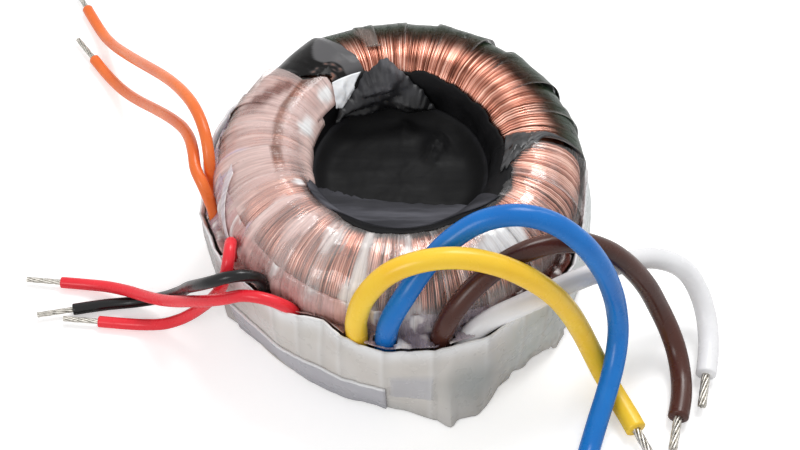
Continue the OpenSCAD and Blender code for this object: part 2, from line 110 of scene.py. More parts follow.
def hang_lamp(name, place, aim, size, power):
    """A square soft box at a place, turned to what it lights."""
    lamp = bpy.data.lights.new(name, "AREA")
    lamp.shape = "SQUARE"
    lamp.size = size
    lamp.energy = power
    holder = bpy.data.objects.new(name, lamp)
    holder.location = place
    holder.rotation_euler = (Vector(aim) - Vector(place)).to_track_quat("-Z", "Y").to_euler()
    scene.collection.objects.link(holder)


lamp_aim = (0, 0, 0.01)
hang_lamp("back lamp", (0.15, 0.28, 0.56), lamp_aim, size=0.25, power=2.0)
hang_lamp("side lamp", (0.38, 0.32, 0.38), lamp_aim, size=0.2, power=0.3)
hang_lamp("front lamp", (-0.34, -0.42, 0.42), lamp_aim, size=0.26, power=1.1)

camera_data = bpy.data.cameras.new("camera")
camera_data.lens = 82.9
camera_data.sensor_width = 36
camera_data.clip_start = 0.01
camera = bpy.data.objects.new("camera", camera_data)
camera.location = (0, -0.1518, 0.2106)
look_at = Vector((0, -0.003, 0.0097))
camera.rotation_euler = (look_at - camera.location).to_track_quat("-Z", "Y").to_euler()
scene.collection.objects.link(camera)
scene.camera = camera


# Core and buried layers: a ring of wound steel strip under wrapped insulation, the primary wire, a
# barrier film and the inner layers of the secondary. Each layer is wound straight on to the last.
def speckle(tree, scale, detail=3.0, stretch=(1, 1, 1)):
    """Cloudy variation over a piece, finer with a larger scale, in its own coordinates."""
    place = put(tree, "ShaderNodeTexCoord").outputs["Object"]
    drawn = put(tree, "ShaderNodeMapping", {"Vector": place, "Scale": stretch})
    return put(tree, "ShaderNodeTexNoise", {"Vector": drawn.outputs[0], "Scale": scale,
                                            "Detail": detail}).outputs[0]


def spread(tree, amount, low, high, start=0.3, stop=0.7):
    """Takes a variation from its own range to another one."""
    return put(tree, "ShaderNodeMapRange", {"Value": amount, "From Min": start, "From Max": stop,
                                            "To Min": low, "To Max": high}).outputs[0]


def tint(tree, amount, stops):
    """Colours along a variation: a list of places from 0 to 1, each with its colour on a screen."""
    ramp = put(tree, "ShaderNodeValToRGB", {"Fac": amount})
    while len(ramp.color_ramp.elements) < len(stops):
        ramp.color_ramp.elements.new(0.5)
    for element, (place, colour) in zip(ramp.color_ramp.elements, stops):
        element.position = place
        element.color = screen(*colour)
    return ramp.outputs[0]


def emboss(tree, shader, amount, depth):
    """Small bumps on a finish, their depth in metres."""
    bump = put(tree, "ShaderNodeBump", {"Height": amount, "Distance": depth, "Strength": 1.0})
    feed(tree, shader, {"Normal": bump.outputs[0]})


def finish_node(node, material):
    """Gives a CAD node its own finish."""
    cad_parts[node].material_slots[0].material = material


def grained(name, stops, gloss, depth, scale, detail=3.0, stretch=(1, 1, 1), metal=0.0):
    """A plain finish: one grain varies its colour, its roughness and its small bumps."""
    material, tree, shader = new_finish(name)
    grain = speckle(tree, scale, detail, stretch)
    feed(tree, shader, {"Base Color": tint(tree, grain, stops),
                        "Roughness": spread(tree, grain, *gloss), "Metallic": metal})
    emboss(tree, shader, grain, depth)
    return material


core_steel = grained("core steel strip", [(0.3, (120, 122, 126)), (0.7, (176, 178, 182))],
                     gloss=(0.3, 0.5), depth=0.00005, scale=900, stretch=(0.2, 0.2, 6), metal=1.0)
amber_film = grained("amber insulation film", [(0.3, (198, 170, 92)), (0.7, (226, 204, 136))],
                     gloss=(0.2, 0.45), depth=0.00006, scale=500, stretch=(1, 1, 0.3))
buried_wire = grained("buried copper wire", [(0.3, (138, 82, 60)), (0.7, (198, 132, 102))],
                      gloss=(0.35, 0.55), depth=0.0001, scale=420, stretch=(1, 1, 0.4), metal=0.8)
for node, material in (("ring_core", core_steel), ("core_insulation", amber_film),
                       ("barrier_film", amber_film), ("primary_winding", buried_wire),
                       ("secondary_layers", buried_wire)):
    finish_node(node, material)


# Outer wire: enamelled copper wound through the hole, turn beside turn, in two sections with a gap
# at the left and one at the right. In the hole the turns crowd, so every second one rides higher.
MM = 0.001
core_outer, core_inner = 20.5, 16.0
outer_edge, inner_edge = 3.0, 0.5
ring_mid, ring_half = 12.2, 8.0
shoulder = ring_mid + ring_half - outer_edge
side_unit, flat_share = 10.0, 0.2
hole_edge = 2 + flat_share


def over_ring(out, t):
    """Radius and height on the ring, out from its core. t runs up the outside to the shoulder at 0,
    round the outer edge to 1, over the flat top to 1.2, round the inner edge to 2.2, then down."""
    round_out, round_in = outer_edge + out, inner_edge + out
    top = ring_mid + ring_half + out
    if t <= 0:
        return core_outer + out, shoulder + side_unit*t
    if t <= 1:
        turn = t*math.pi/2
        return core_outer - outer_edge + round_out*math.cos(turn), shoulder + round_out*math.sin(turn)
    t -= 1
    edge_r = core_inner + inner_edge
    if t <= flat_share:
        reach = (core_outer - outer_edge - edge_r)*t/flat_share
        return core_outer - outer_edge - reach, top
    t -= flat_share
    if t <= 1:
        turn = t*math.pi/2
        return edge_r - round_in*math.sin(turn), top - round_in + round_in*math.cos(turn)
    return core_inner - out, top - round_in - side_unit*(t - 1)


def polar(r, degrees, z):
    """A point in metres, from a radius and height in millimetres and a direction in degrees."""
    turn = math.radians(degrees)
    return Vector((r*math.cos(turn)*MM, r*math.sin(turn)*MM, z*MM))


wire_size, wire_out = 0.32, 3.33
steps_per_turn, half_points = 40, 60
hidden_side = (shoulder - ring_mid)/side_unit
bore_side = hole_edge + (ring_half - inner_edge)/side_unit
upper = [over_ring(wire_out, -hidden_side + (bore_side + hidden_side)*i/half_points)
         for i in range(half_points + 1)]
lower = [(r, 2*ring_mid - z) for r, z in reversed(upper[1:-1])]
turn_shape = bpy.data.meshes.new("shape of one turn")
turn_shape.from_pydata([(r*MM, 0, z*MM) for r, z in upper + lower],
                       [(i, (i + 1) % (2*half_points)) for i in range(2*half_points)], [])


def new_maker(name, *inputs):
    """A geometry tree with its inputs, each by its name and kind. The first is what it starts from."""
    tree = bpy.data.node_groups.new(name, "GeometryNodeTree")
    tree.interface.new_socket(name="Geometry", in_out="OUTPUT", socket_type="NodeSocketGeometry")
    for label, kind in inputs:
        tree.interface.new_socket(name=label, in_out="INPUT", socket_type="NodeSocket" + kind)
    return tree, put(tree, "NodeGroupInput").outputs


def draw_round(tree, lines, radius, material, sides=6):
    """Ends a geometry tree with round wire along its lines, as one smooth mesh."""
    wire_round = put(tree, "GeometryNodeCurvePrimitiveCircle", {"Resolution": sides, "Radius": radius})
    made = put(tree, "GeometryNodeCurveToMesh", {
        "Curve": lines, "Profile Curve": wire_round.outputs[0], "Fill Caps": True}).outputs[0]
    made = put(tree, "GeometryNodeRealizeInstances", {"Geometry": made}).outputs[0]
    made = put(tree, "GeometryNodeSetShadeSmooth", {"Geometry": made, "Shade Smooth": True}).outputs[0]
    made = put(tree, "GeometryNodeSetMaterial", {"Geometry": made, "Material": material}).outputs[0]
    put(tree, "NodeGroupOutput", {0: made})


winder, given = new_maker(
    "wire wound through a ring", ("Shape of one turn", "Geometry"), ("Turns", "Int"),
    ("Steps per turn", "Int"), ("From", "Float"), ("Span", "Float"), ("Wire radius", "Float"),
    ("Wander", "Float"), ("Crowding", "Float"), ("Seed", "Float"), ("Wire", "Material"))
shape = put(winder, "GeometryNodeMeshToCurve", {"Mesh": given["Shape of one turn"]}).outputs[0]
count = calc(winder, "MULTIPLY_ADD", given["Turns"], given["Steps per turn"], 1.0)
line = put(winder, "GeometryNodeResampleCurve", {
    "Curve": put(winder, "GeometryNodeCurvePrimitiveLine").outputs[0], "Count": count}).outputs[0]
turn_at = calc(winder, "DIVIDE", put(winder, "GeometryNodeInputIndex").outputs[0],
               given["Steps per turn"])
phase = calc(winder, "FRACT", turn_at)
sampled = put(winder, "GeometryNodeSampleCurve", {"Curves": shape, "Factor": phase}, mode="FACTOR")
on_turn = put(winder, "ShaderNodeSeparateXYZ", {0: sampled.outputs["Position"]}).outputs
phase_angle = calc(winder, "MULTIPLY", phase, 2*math.pi)
drift_per_turn, drift_round = 0.83, 0.7
drift_at = put(winder, "ShaderNodeCombineXYZ", {
    0: calc(winder, "MULTIPLY_ADD", turn_at, drift_per_turn, given["Seed"]),
    1: calc(winder, "MULTIPLY", calc(winder, "COSINE", phase_angle), drift_round),
    2: calc(winder, "MULTIPLY", calc(winder, "SINE", phase_angle), drift_round)}).outputs[0]
drift = calc(winder, "SUBTRACT", put(winder, "ShaderNodeTexNoise", {
    "Vector": drift_at, "Scale": 1.0, "Detail": 2.0}).outputs[0], 0.5)
whole_turn = calc(winder, "DIVIDE", turn_at, given["Turns"])
laid_at = calc(winder, "MULTIPLY_ADD", whole_turn, given["Span"], given["From"])
direction = calc(winder, "ADD", laid_at, calc(winder, "MULTIPLY", drift, given["Wander"]))
odd = calc(winder, "MODULO", calc(winder, "FLOOR", turn_at), 2.0)
spread_r, crowded_r = 0.021, 0.014
near_hole = put(winder, "ShaderNodeMapRange", {
    "Value": on_turn["X"], "From Min": spread_r, "From Max": crowded_r, "To Min": 0.0,
    "To Max": 1.0}, interpolation_type="SMOOTHSTEP").outputs[0]
lift = calc(winder, "MULTIPLY", calc(winder, "MULTIPLY", odd, near_hole), given["Crowding"])
section_mid = {"X": (core_outer + core_inner)/2*MM, "Z": ring_mid*MM}
raised_r, raised_z = (
    calc(winder, "MULTIPLY_ADD", calc(winder, "SUBTRACT", on_turn[axis], middle), lift, on_turn[axis])
    for axis, middle in section_mid.items())
placed = put(winder, "ShaderNodeCombineXYZ", {
    0: calc(winder, "MULTIPLY", raised_r, calc(winder, "COSINE", direction)),
    1: calc(winder, "MULTIPLY", raised_r, calc(winder, "SINE", direction)), 2: raised_z}).outputs[0]
wound = put(winder, "GeometryNodeSetPosition", {"Geometry": line, "Position": placed}).outputs[0]
numbered = put(winder, "GeometryNodeStoreNamedAttribute", {
    "Geometry": wound, "Name": "turn", "Value": turn_at}, data_type="FLOAT", domain="POINT").outputs[0]
draw_round(winder, numbered, given["Wire radius"], given["Wire"])


def grown(name, base, tree, values):
    """The plain mesh that a geometry tree makes of a base mesh, as an object of its own."""
    seed_piece = bpy.data.objects.new(name, base)
    scene.collection.objects.link(seed_piece)
    modifier = seed_piece.modifiers.new(tree.name, "NODES")
    modifier.node_group = tree
    for socket in tree.interface.items_tree:
        if socket.name in values:
            modifier[socket.identifier] = values[socket.name]
    depsgraph = bpy.context.evaluated_depsgraph_get()
    mesh = bpy.data.meshes.new_from_object(seed_piece.evaluated_get(depsgraph))
    seed_piece.modifiers.clear()
    seed_piece.data = mesh
    mesh.name = name
    return seed_piece


def settle(piece, slot, *nodes):
    """Fixes a finished piece to the part: its body and the nodes it stands for. The slot is not used."""
    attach(piece, "root")
    if nodes:
        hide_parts(*nodes)


def painted(tree, name, output="Color"):
    """What is stored on a piece under a name, for its finish: a colour, or a number as Fac."""
    return put(tree, "ShaderNodeAttribute", attribute_name=name).outputs[output]


copper, tree, shader = new_finish("enamelled copper wire")
each_turn = put(tree, "ShaderNodeTexWhiteNoise", {
    "W": calc(tree, "FLOOR", painted(tree, "turn", "Fac"))}, noise_dimensions="1D").outputs[0]
along = speckle(tree, 260, 4)
mixed = calc(tree, "MULTIPLY_ADD", each_turn, 0.45, calc(tree, "MULTIPLY", along, 0.55))
feed(tree, shader, {
    "Base Color": tint(tree, mixed, [(0.24, (98, 54, 41)), (0.38, (176, 116, 97)),
                                     (0.55, (212, 154, 135)), (0.78, (245, 204, 187))]),
    "Roughness": spread(tree, along, 0.24, 0.42), "Metallic": 1.0})
emboss(tree, shader, speckle(tree, 2600, 2), 0.00001)

for section, start, span, turns, seed in (("back", 6, 112, 144, 4.0), ("front", 142, 219, 281, 31.0)):
    wire = grown("wire_" + section, turn_shape, winder, {
        "Turns": turns, "Steps per turn": steps_per_turn, "From": math.radians(start),
        "Span": math.radians(span), "Wire radius": wire_size/2*MM, "Wander": 0.022,
        "Crowding": 0.012, "Seed": seed, "Wire": copper})
    settle(wire, "copper_wire", "winding_" + section)


# Left gap: a strip of glossy black film bridges it, from the hole to the outside. It is stiff, so
# it stands off the ring in flat facets, and it is torn near its inner end.
def shares(rows, cols):
    """Every point of a sheet, row by row, as two shares from 0 to 1: along its rows and across."""
    return [(i/(rows - 1), j/(cols - 1)) for i in range(rows) for j in range(cols)]


def sheet_of(rows, cols, place, hole=None):
    """Points and faces of a sheet. place gives a point for its two shares, and hole says where the
    sheet is torn away."""
    points = [place(u, v) for u, v in shares(rows, cols)]
    faces = []
    for i in range(rows - 1):
        for j in range(cols - 1):
            if hole is None or not hole((i + 0.5)/(rows - 1), (j + 0.5)/(cols - 1)):
                a = i*cols + j
                faces.append((a, a + 1, a + cols + 1, a + cols))
    return points, faces


def add_piece(name, points, faces, material):
    """A smooth mesh piece at the origin."""
    mesh = bpy.data.meshes.new(name)
    mesh.from_pydata(points, [], faces)
    mesh.shade_smooth()
    mesh.materials.append(material)
    piece = bpy.data.objects.new(name, mesh)
    scene.collection.objects.link(piece)
    return piece


def thicken(piece, millimetres, offset=1.0):
    """Gives a sheet its thickness, on the side that its faces point to, unless told otherwise."""
    wall = piece.modifiers.new("thickness", "SOLIDIFY")
    wall.thickness = millimetres*MM
    wall.offset = offset
    return piece


def add_sheet(name, rows, cols, place, material, millimetres, offset=1.0, hole=None):
    """A piece made of one sheet."""
    points, faces = sheet_of(rows, cols, place, hole)
    return thicken(add_piece(name, points, faces, material), millimetres, offset)


def crease(piece, degrees):
    """Keeps the edges of a piece sharp where it bends by more than so many degrees."""
    piece.data.set_sharp_from_angle(angle=math.radians(degrees))


def paint(piece, name, values):
    """Stores a number or a colour at each point of a piece, for its finish."""
    if isinstance(values[0], tuple):
        layer = piece.data.attributes.new(name, "FLOAT_COLOR", "POINT")
        layer.data.foreach_set("color", [part for colour in values for part in colour])
    else:
        layer = piece.data.attributes.new(name, "FLOAT", "POINT")
        layer.data.foreach_set("value", values)


def rough(*place):
    """Smooth irregularity, from about -1 to 1, at a place given by up to three numbers."""
    return noise.noise(Vector((tuple(place) + (0.0, 0.0))[:3]))


def between(value, knots):
    """A value read off a line through knots, straight from each to the next."""
    if value <= knots[0][0]:
        return knots[0][1]
    for (a, low), (b, high) in zip(knots, knots[1:]):
        if value <= b:
            return low + (high - low)*(value - a)/(b - a)
    return knots[-1][1]


def ease(low, high, value):
    """A smooth step from 0 to 1."""
    t = max(0.0, min(1.0, (value - low)/(high - low)))
    return t*t*(3 - 2*t)


def blend(colour, other, share):
    """One colour gone over into another by a share."""
    return tuple(a + (b - a)*share for a, b in zip(colour, other))


def mix(tree, share, colour, other, **settings):
    """One colour of a finish gone over into another by a share."""
    return put(tree, "ShaderNodeMix", {0: share, 6: colour, 7: other}, data_type="RGBA",
               **settings).outputs[2]


black_film, tree, shader = new_finish("glossy black film")
black_tone = tint(tree, speckle(tree, 240, 5), [
    (0.3, (16, 16, 17)), (0.55, (32, 31, 31)), (0.75, (56, 54, 54))])
# The black gives way to what is stored on the strip: a painted grey sheen on one facet, grey scratches
# and broken copper.
feed(tree, shader, {
    "Base Color": mix(tree, painted(tree, "wear_and_sheen_share", "Fac"), black_tone, painted(tree, "wear_and_sheen_colour")),
    "Roughness": spread(tree, speckle(tree, 420, 4), 0.08, 0.3), "Specular IOR Level": 0.08})
emboss(tree, shader, speckle(tree, 520, 3), 0.00006)

strip_rows, strip_cols, strip_thick, strip_bend = 80, 44, 0.08, 15
strip_low, strip_long, strip_side, strip_wide, strip_out = -0.9, 2.95, 143.5, 27, 3.85
strip_facets = [(115, 3.7), (121, 4.45), (128, 4.0), (135, 3.55), (140, 3.5), (144, 3.6)]
# The grey serves as the painted sheen on one facet and as the grey of the scratches; the copper shows
# where the strip is broken.
grey_sheen_and_scratch, copper_rub = screen(128, 127, 129), screen(158, 114, 98)
sheen_facet_from = [(0.3, 1.0), (0.5, 0.9), (0.7, 0.66), (0.95, 0.5), (1.1, 0.52), (1.25, 0.64),
              (1.5, 0.68)]


def on_left_strip(u, v):
    t = strip_low + strip_long*u
    skew = 6*ease(0.6, 1.6, t)
    degrees = strip_side - strip_wide*v - skew*(0.6 + 0.4*v) + 0.7*rough(t*3, v*2)
    proud = (between(degrees + skew, strip_facets) - strip_out)*(1 - 0.75*ease(0.7, 1.3, t))
    proud *= ease(-0.45, 0.1, t)
    r, z = over_ring(strip_out + proud + 0.12*rough(t*2.2, v*3, 5), t)
    return polar(r, degrees, z)


def strip_tear(u, v):
    t = strip_low + strip_long*u
    slit = math.hypot((t - 1.2)/0.22, (v - 0.12 - 0.3*(t - 1.1))/0.05) + 0.3*rough(t*14, 4)
    torn_away = t > 1.33 + 0.12*rough(v*14, 7) and v < 0.36 + 0.06*rough(t*12, 2)
    return slit < 0.9 or torn_away


def strip_wear_and_sheen(u, v):
    """What shows in place of the black, and how much: a painted grey sheen on the facet by the back
    section, copper where the strip is broken, and grey scratches."""
    t = strip_low + strip_long*u
    # The facet by the back section is painted grey: a painted sheen.
    facet = ease(-0.02, 0.02, v - between(t, sheen_facet_from) + 0.05*rough(t*5, v*4, 6))
    facet *= ease(1.75, 1.45, t)
    broken = ease(1.0, 0.6, math.hypot((t - 1.3)/0.3, (v - 0.42)/0.28) + 0.4*rough(t*7, v*9, 2))
    broken *= ease(-0.05, 0.2, rough(t*5, v*12, 8))
    scratch = ease(0.25, 0.5, rough(t*3.5, v*11, 8))*ease(0.1, 0.5, t)
    return blend(grey_sheen_and_scratch, copper_rub, broken), max(0.55*facet, 0.75*broken, 0.18*scratch)


left_strip = add_sheet("black_strip_left", strip_rows, strip_cols, on_left_strip, black_film,
                       strip_thick, hole=strip_tear)
wear_and_sheen = [strip_wear_and_sheen(u, v) for u, v in shares(strip_rows, strip_cols)]
paint(left_strip, "wear_and_sheen_share", [share for colour, share in wear_and_sheen])
paint(left_strip, "wear_and_sheen_colour", [colour for colour, share in wear_and_sheen])
crease(left_strip, strip_bend)
settle(left_strip, "black_strip", "gap_strip_left")


# Right gap: black resin has run out of the hole over the top of the ring, and dried in a ragged
# smear with a thin line on to the outside.
resin_smear = grained("dried resin smear", [(0.35, (30, 30, 31)), (0.7, (78, 78, 80))],
                      gloss=(0.25, 0.6), depth=0.00012, scale=600, detail=4)

smear_rows, smear_cols, smear_thick = 64, 20, 0.1
smear_start, smear_long, smear_at, smear_out = 1.62, 1.39, 3.4, 3.66
smear_above = [(0.2, 0.3), (0.6, 0.5), (0.72, 0.9), (0.85, 2.2), (1.1, 1.6), (1.5, 3.0), (1.62, 3.4)]
smear_below = [(0.2, 0.3), (0.8, 0.5), (0.87, 0.9), (1.0, 5), (1.2, 9), (1.36, 13), (1.5, 19),
               (1.62, 24)]


def on_right_smear(u, v):
    t = smear_start - smear_long*u
    above, below = between(t, smear_above), between(t, smear_below)
    ragged = 1 + 0.3*rough(t*7, 3 + 9*v) + 0.2*rough(t*19, 8 + 9*v)
    across = above - (below + above)*v
    degrees = smear_at - 1.6*ease(0.9, 0.3, t) + across*ragged
    heaped = 0.4*v + 0.3*math.sin(math.pi*v) + 0.1*rough(t*9, v*5, 4)
    r, z = over_ring(smear_out + heaped, t)
    return polar(r, degrees, z)


smear = add_sheet("resin_smear_right", smear_rows, smear_cols, on_right_smear, resin_smear, smear_thick)
settle(smear, "black_strip", "gap_strip_right")


# White tab: a scrap of insulation paper, caught under the black strip and bent over the edge of the
# hole, with a crease across it.
white_paper = grained("white insulation paper", [(0.3, (242, 246, 251)), (0.7, (253, 254, 255))],
                      gloss=(0.3, 0.5), depth=0.00004, scale=900, detail=5, stretch=(1, 2.5, 1))

tab_rows, tab_cols, tab_thick, tab_bend, tab_out = 20, 16, 0.1, 30, 4.5
tab_left = [(0, 1.58, 131.5), (1, 2.02, 137)]
tab_right = [(0, 1.62, 113), (0.3, 1.8, 119.5), (0.6, 1.92, 121.5), (1, 2.09, 131.5)]


def on_tab(u, v):
    t, degrees = (between(u, [(k[0], k[i]) for k in tab_left])*(1 - v)
                  + between(u, [(k[0], k[i]) for k in tab_right])*v for i in (1, 2))
    from_crease = abs(v - 0.3 - 0.4*u)
    r, z = over_ring(tab_out + 0.8*max(0, 0.3 - from_crease) + 0.2*rough(u*4, v*4, 1), t)
    return polar(r, degrees + 0.9*v*rough(u*9, 6), z)


tab = add_sheet("paper_tab", tab_rows, tab_cols, on_tab, white_paper, tab_thick)
crease(tab, tab_bend)
settle(tab, "white_tab", "insulation_tab")


# Hole: a tube of black plastic sheet lines it. Its upper edge is torn, and is pressed out over the
# inner edge of the wire all round.
liner_sheet, tree, shader = new_finish("black liner sheet")
scuffs = speckle(tree, 330, 5)
feed(tree, shader, {
    "Base Color": tint(tree, scuffs, [(0.35, (13, 13, 14)), (0.7, (25, 25, 27))]),
    "Roughness": spread(tree, scuffs, 0.45, 0.7), "Specular IOR Level": 0.12})
emboss(tree, shader, speckle(tree, 800, 3), 0.00006)

liner_rows, liner_cols, liner_thick, wall_share = 16, 241, 0.12, 0.4
liner_out, wall_r, wall_foot, wall_top = 3.86, 11.9, 13.5, 19.6
lip_reach = [(0, 13.7), (20, 13.1), (40, 12.95), (58, 13.2), (76, 13.4), (90, 13.35), (115, 12.9),
             (135, 12.3), (190, 12.3), (206, 12.8), (225, 13.3), (240, 14.2), (255, 15.1), (265, 14.9),
             (275, 14.7), (295, 14.9), (310, 15.2), (325, 15.9), (335, 15.8), (346, 14.7), (360, 13.7)]


def liner_reach(degrees):
    """How far from the middle the torn lip ends, by direction."""
    turn = math.radians(degrees)
    x, y = 3*math.cos(turn), 3*math.sin(turn)
    ragged = 0.35*rough(x*2, y*2, 1) + 0.3*rough(x*7, y*7, 2)
    spike = max(0, rough(x*4, y*4, 7))**2
    return between(degrees, lip_reach) + 0.7*ragged + spike


def on_liner(u, v):
    degrees = 360*v
    x, y = math.cos(math.radians(degrees)), math.sin(math.radians(degrees))
    if u < wall_share:
        rise = u/wall_share
        return polar(wall_r + 0.1*rough(6*x, 6*y, rise), degrees,
                     wall_foot + (wall_top - wall_foot)*rise)
    lip = math.asin(min(1, (core_inner + inner_edge - liner_reach(degrees))/(inner_edge + liner_out)))
    t = hole_edge - (1 - lip/(math.pi/2))*(u - wall_share)/(1 - wall_share)
    lifted_edge = 0.12*ease(0.8, 1, u)*max(0, rough(x*9, y*9, 3))
    r, z = over_ring(liner_out + lifted_edge, t)
    return polar(r, degrees, z)


liner = add_sheet("liner", liner_rows, liner_cols, on_liner, liner_sheet, liner_thick, -1.0)
settle(liner, "black_liner", "hole_liner")


# Crumpled liner: at the back left the spare end of the liner is bunched up and folded over the rim
# of the hole. It is stiff sheet, so it stands in sharp creases with a torn crest.
def height_in(tree):
    """How high a point of a piece stands, in metres."""
    place = put(tree, "ShaderNodeTexCoord").outputs["Object"]
    return put(tree, "ShaderNodeSeparateXYZ", {0: place}).outputs["Z"]


crumpled, tree, shader = new_finish("crumpled black liner")
smoke = speckle(tree, 260, 5)
smoke_tone = tint(tree, smoke, [(0.35, (34, 34, 36)), (0.58, (62, 62, 66)),
                                (0.78, (120, 120, 124))])
# Low down the crumpled sheet is painted near black: painted shade where it sinks into the hole.
out_of_painted_shade = spread(tree, height_in(tree), 0.1, 1.0, 0.0198, 0.0226)
feed(tree, shader, {
    "Base Color": mix(tree, out_of_painted_shade, screen(11, 11, 12), smoke_tone),
    "Roughness": spread(tree, smoke, 0.36, 0.55), "Specular IOR Level": 0.3})
emboss(tree, shader, speckle(tree, 900, 4), 0.00006)

bunch_rows, bunch_cols, bunch_bend, bunch_r = 96, 60, 32, 11.5
bunch_from, bunch_to = 64, 141
bunch_crest = [(64, 19.6), (74, 21.0), (84, 22.2), (90, 23.4), (94, 24.8), (98, 25.6), (101, 25.2),
               (105, 24.3), (110, 24.1), (115, 23.0), (121, 21.9), (128, 21.3), (134, 20.8), (141, 19.8)]
bunch_foot = [(64, 18.2), (80, 18.2), (98, 18.4), (115, 18.6), (125, 19.0), (134, 19.4), (141, 19.0)]
bunch_slope = [(18, 10.8), (20, 11.2), (21.5, 11.9), (23, 12.6), (24.5, 13.1), (26, 13.4)]


def on_bunch(u, v):
    degrees = bunch_from + (bunch_to - bunch_from)*u
    ends = math.sqrt(max(0.02, 1 - (2*u - 1)**4))
    turn = 2*math.pi*v
    crest = between(degrees, bunch_crest) + 0.6*rough(degrees*0.3, 2)
    foot = between(degrees, bunch_foot)
    z = (crest + foot)/2 + (crest - foot)/2*ends*math.cos(turn)
    across = math.radians(degrees)*bunch_r
    bulge = 0.6
    if math.sin(turn) > 0:
        bulge += 1.1 + 1.5*rough(across*0.2, z*0.32, 3) + 0.18*rough(across*1.2, z*1.6, 4)
        bulge += abs(rough(across*0.16 + 0.2*z, z*0.7, 9))
    r = between(z, bunch_slope) - bulge*ends*math.sin(turn)
    return polar(r, degrees + 2*rough(z*0.5, across*0.4, 6), z)


def roll_of(rows, cols, place):
    """Points and faces of a closed roll: rows along it, the last column joined to the first, and
    its two ends closed."""
    points = [place(i/(rows - 1), j/cols) for i in range(rows) for j in range(cols)]
    faces = [(i*cols + j, i*cols + (j + 1) % cols, (i + 1)*cols + (j + 1) % cols, (i + 1)*cols + j)
             for i in range(rows - 1) for j in range(cols)]
    faces.append(tuple(reversed(range(cols))))
    faces.append(tuple(range((rows - 1)*cols, rows*cols)))
    return points, faces


points, faces = roll_of(bunch_rows, bunch_cols, on_bunch)
bunch = add_piece("liner_bunch", points, [face[::-1] for face in faces], crumpled)
crease(bunch, bunch_bend)
settle(bunch, "black_liner", "liner_fold")


# Resin: black casting resin fills the hole to two thirds. It set with a dull, slightly wavy top,
# drawn up a little at the wall. At the near side it stands higher, in a ledge with drag marks along
# it, which spills over the lip of the liner.
resin, tree, shader = new_finish("black casting resin")
# The ledge is painted grey, lighter than the floor: a painted sheen where it faces up, streaked along its
# drag marks.
ledge_sheen_share = spread(tree, height_in(tree), 0.0, 1.0, 0.0175, 0.0198)
drag = speckle(tree, 420, 6, stretch=(0.14, 1, 0.4))
mottled = speckle(tree, 180, 4)
floor_tone = tint(tree, mottled, [(0.3, (13, 13, 14)), (0.7, (20, 20, 21))])
ledge_sheen_and_drag_tone = tint(tree, drag, [(0.3, (30, 30, 33)), (0.5, (56, 56, 61)),
                               (0.7, (96, 96, 103))])
feed(tree, shader, {
    "Base Color": mix(tree, ledge_sheen_share, floor_tone, ledge_sheen_and_drag_tone),
    "Roughness": spread(tree, drag, 0.5, 0.75), "Specular IOR Level": 0.14})
emboss(tree, shader, drag, 0.00012)

resin_r, resin_level, resin_foot = 11.88, 16.0, 13.6
ledge_rise, spill_over = 4.3, 0.3
wall_creep, creep_from = 2.0, 8.4
lumps = [(5.2, 5.6, 1.5, 1.5), (0.8, 8.6, 1.1, 0.9), (4.2, 4.0, 0.9, 1.0)]
ledge_edge = [(-13, -6.4), (-11.8, -5.4), (-11, -4.5), (-10, -4.3), (-7.5, -5.2), (-5, -6.0), (0, -6.8),
              (5, -7.1), (10, -7.2), (13.3, -8.9)]
ledge_reach = [(-176, 11.88), (-160, 13.0), (-150, 13.7), (-140, 13.9), (-128, 13.5), (-116, 12.6),
               (-90, 12.2), (-72, 12.4), (-56, 13.4), (-44, 15.0), (-33, 15.9), (-27, 13.5), (-21, 11.88)]


def resin_height(x, y):
    z = resin_level + 0.16*rough(x*0.35, y*0.35) + 0.05*rough(x*1.2, y*1.2, 3)
    for lump_x, lump_y, wide, high in lumps:
        away = math.hypot(x - lump_x, (y - lump_y)*0.7)/wide
        z += high*math.exp(-away*away)*(0.6 + 0.8*abs(rough(x*1.5, y*1.5, 5)))
    edge = between(x, ledge_edge) + 0.25*rough(x*0.6, 2)
    step = ease(edge + 0.5, edge - 0.4, y)
    near = ease(edge, -resin_r, y)
    z += step*(ledge_rise + 0.9*near*near + 0.12*rough(x*0.5, y*2.2, 4))
    away = math.hypot(x, y)
    z += wall_creep*(1 - step)*ease(creep_from, resin_r, away)**2
    spill = away - (core_inner - liner_out - spill_over)
    if spill <= 0 or step < 0.3:
        return z
    round_in = inner_edge + liner_out + spill_over
    return max(z, shoulder + outer_edge - inner_edge + math.sqrt(
        round_in**2 - (round_in - spill)**2))


points, faces = [Vector((0, 0, resin_height(0, 0)*MM))], []
ring_count, ring_points = 34, 120
for i in range(1, ring_count + 1):
    for j in range(ring_points):
        degrees = (360*j/ring_points + 180) % 360 - 180
        place = polar(between(degrees, ledge_reach)*i/ring_count, degrees, 0)
        points.append(Vector((place.x, place.y, resin_height(place.x/MM, place.y/MM)*MM)))
foot_row = len(points)
points += [polar(resin_r, 360*j/ring_points, resin_foot) for j in range(ring_points)]
faces += [(0, 1 + j, 1 + (j + 1) % ring_points) for j in range(ring_points)]
for i in range(ring_count):
    for j in range(ring_points):
        a, b = 1 + i*ring_points + j, 1 + i*ring_points + (j + 1) % ring_points
        faces.append((a, a + ring_points, b + ring_points, b))
faces.append(tuple(foot_row + j for j in reversed(range(ring_points))))
settle(add_piece("resin", points, faces, resin), "resin", "resin_fill")


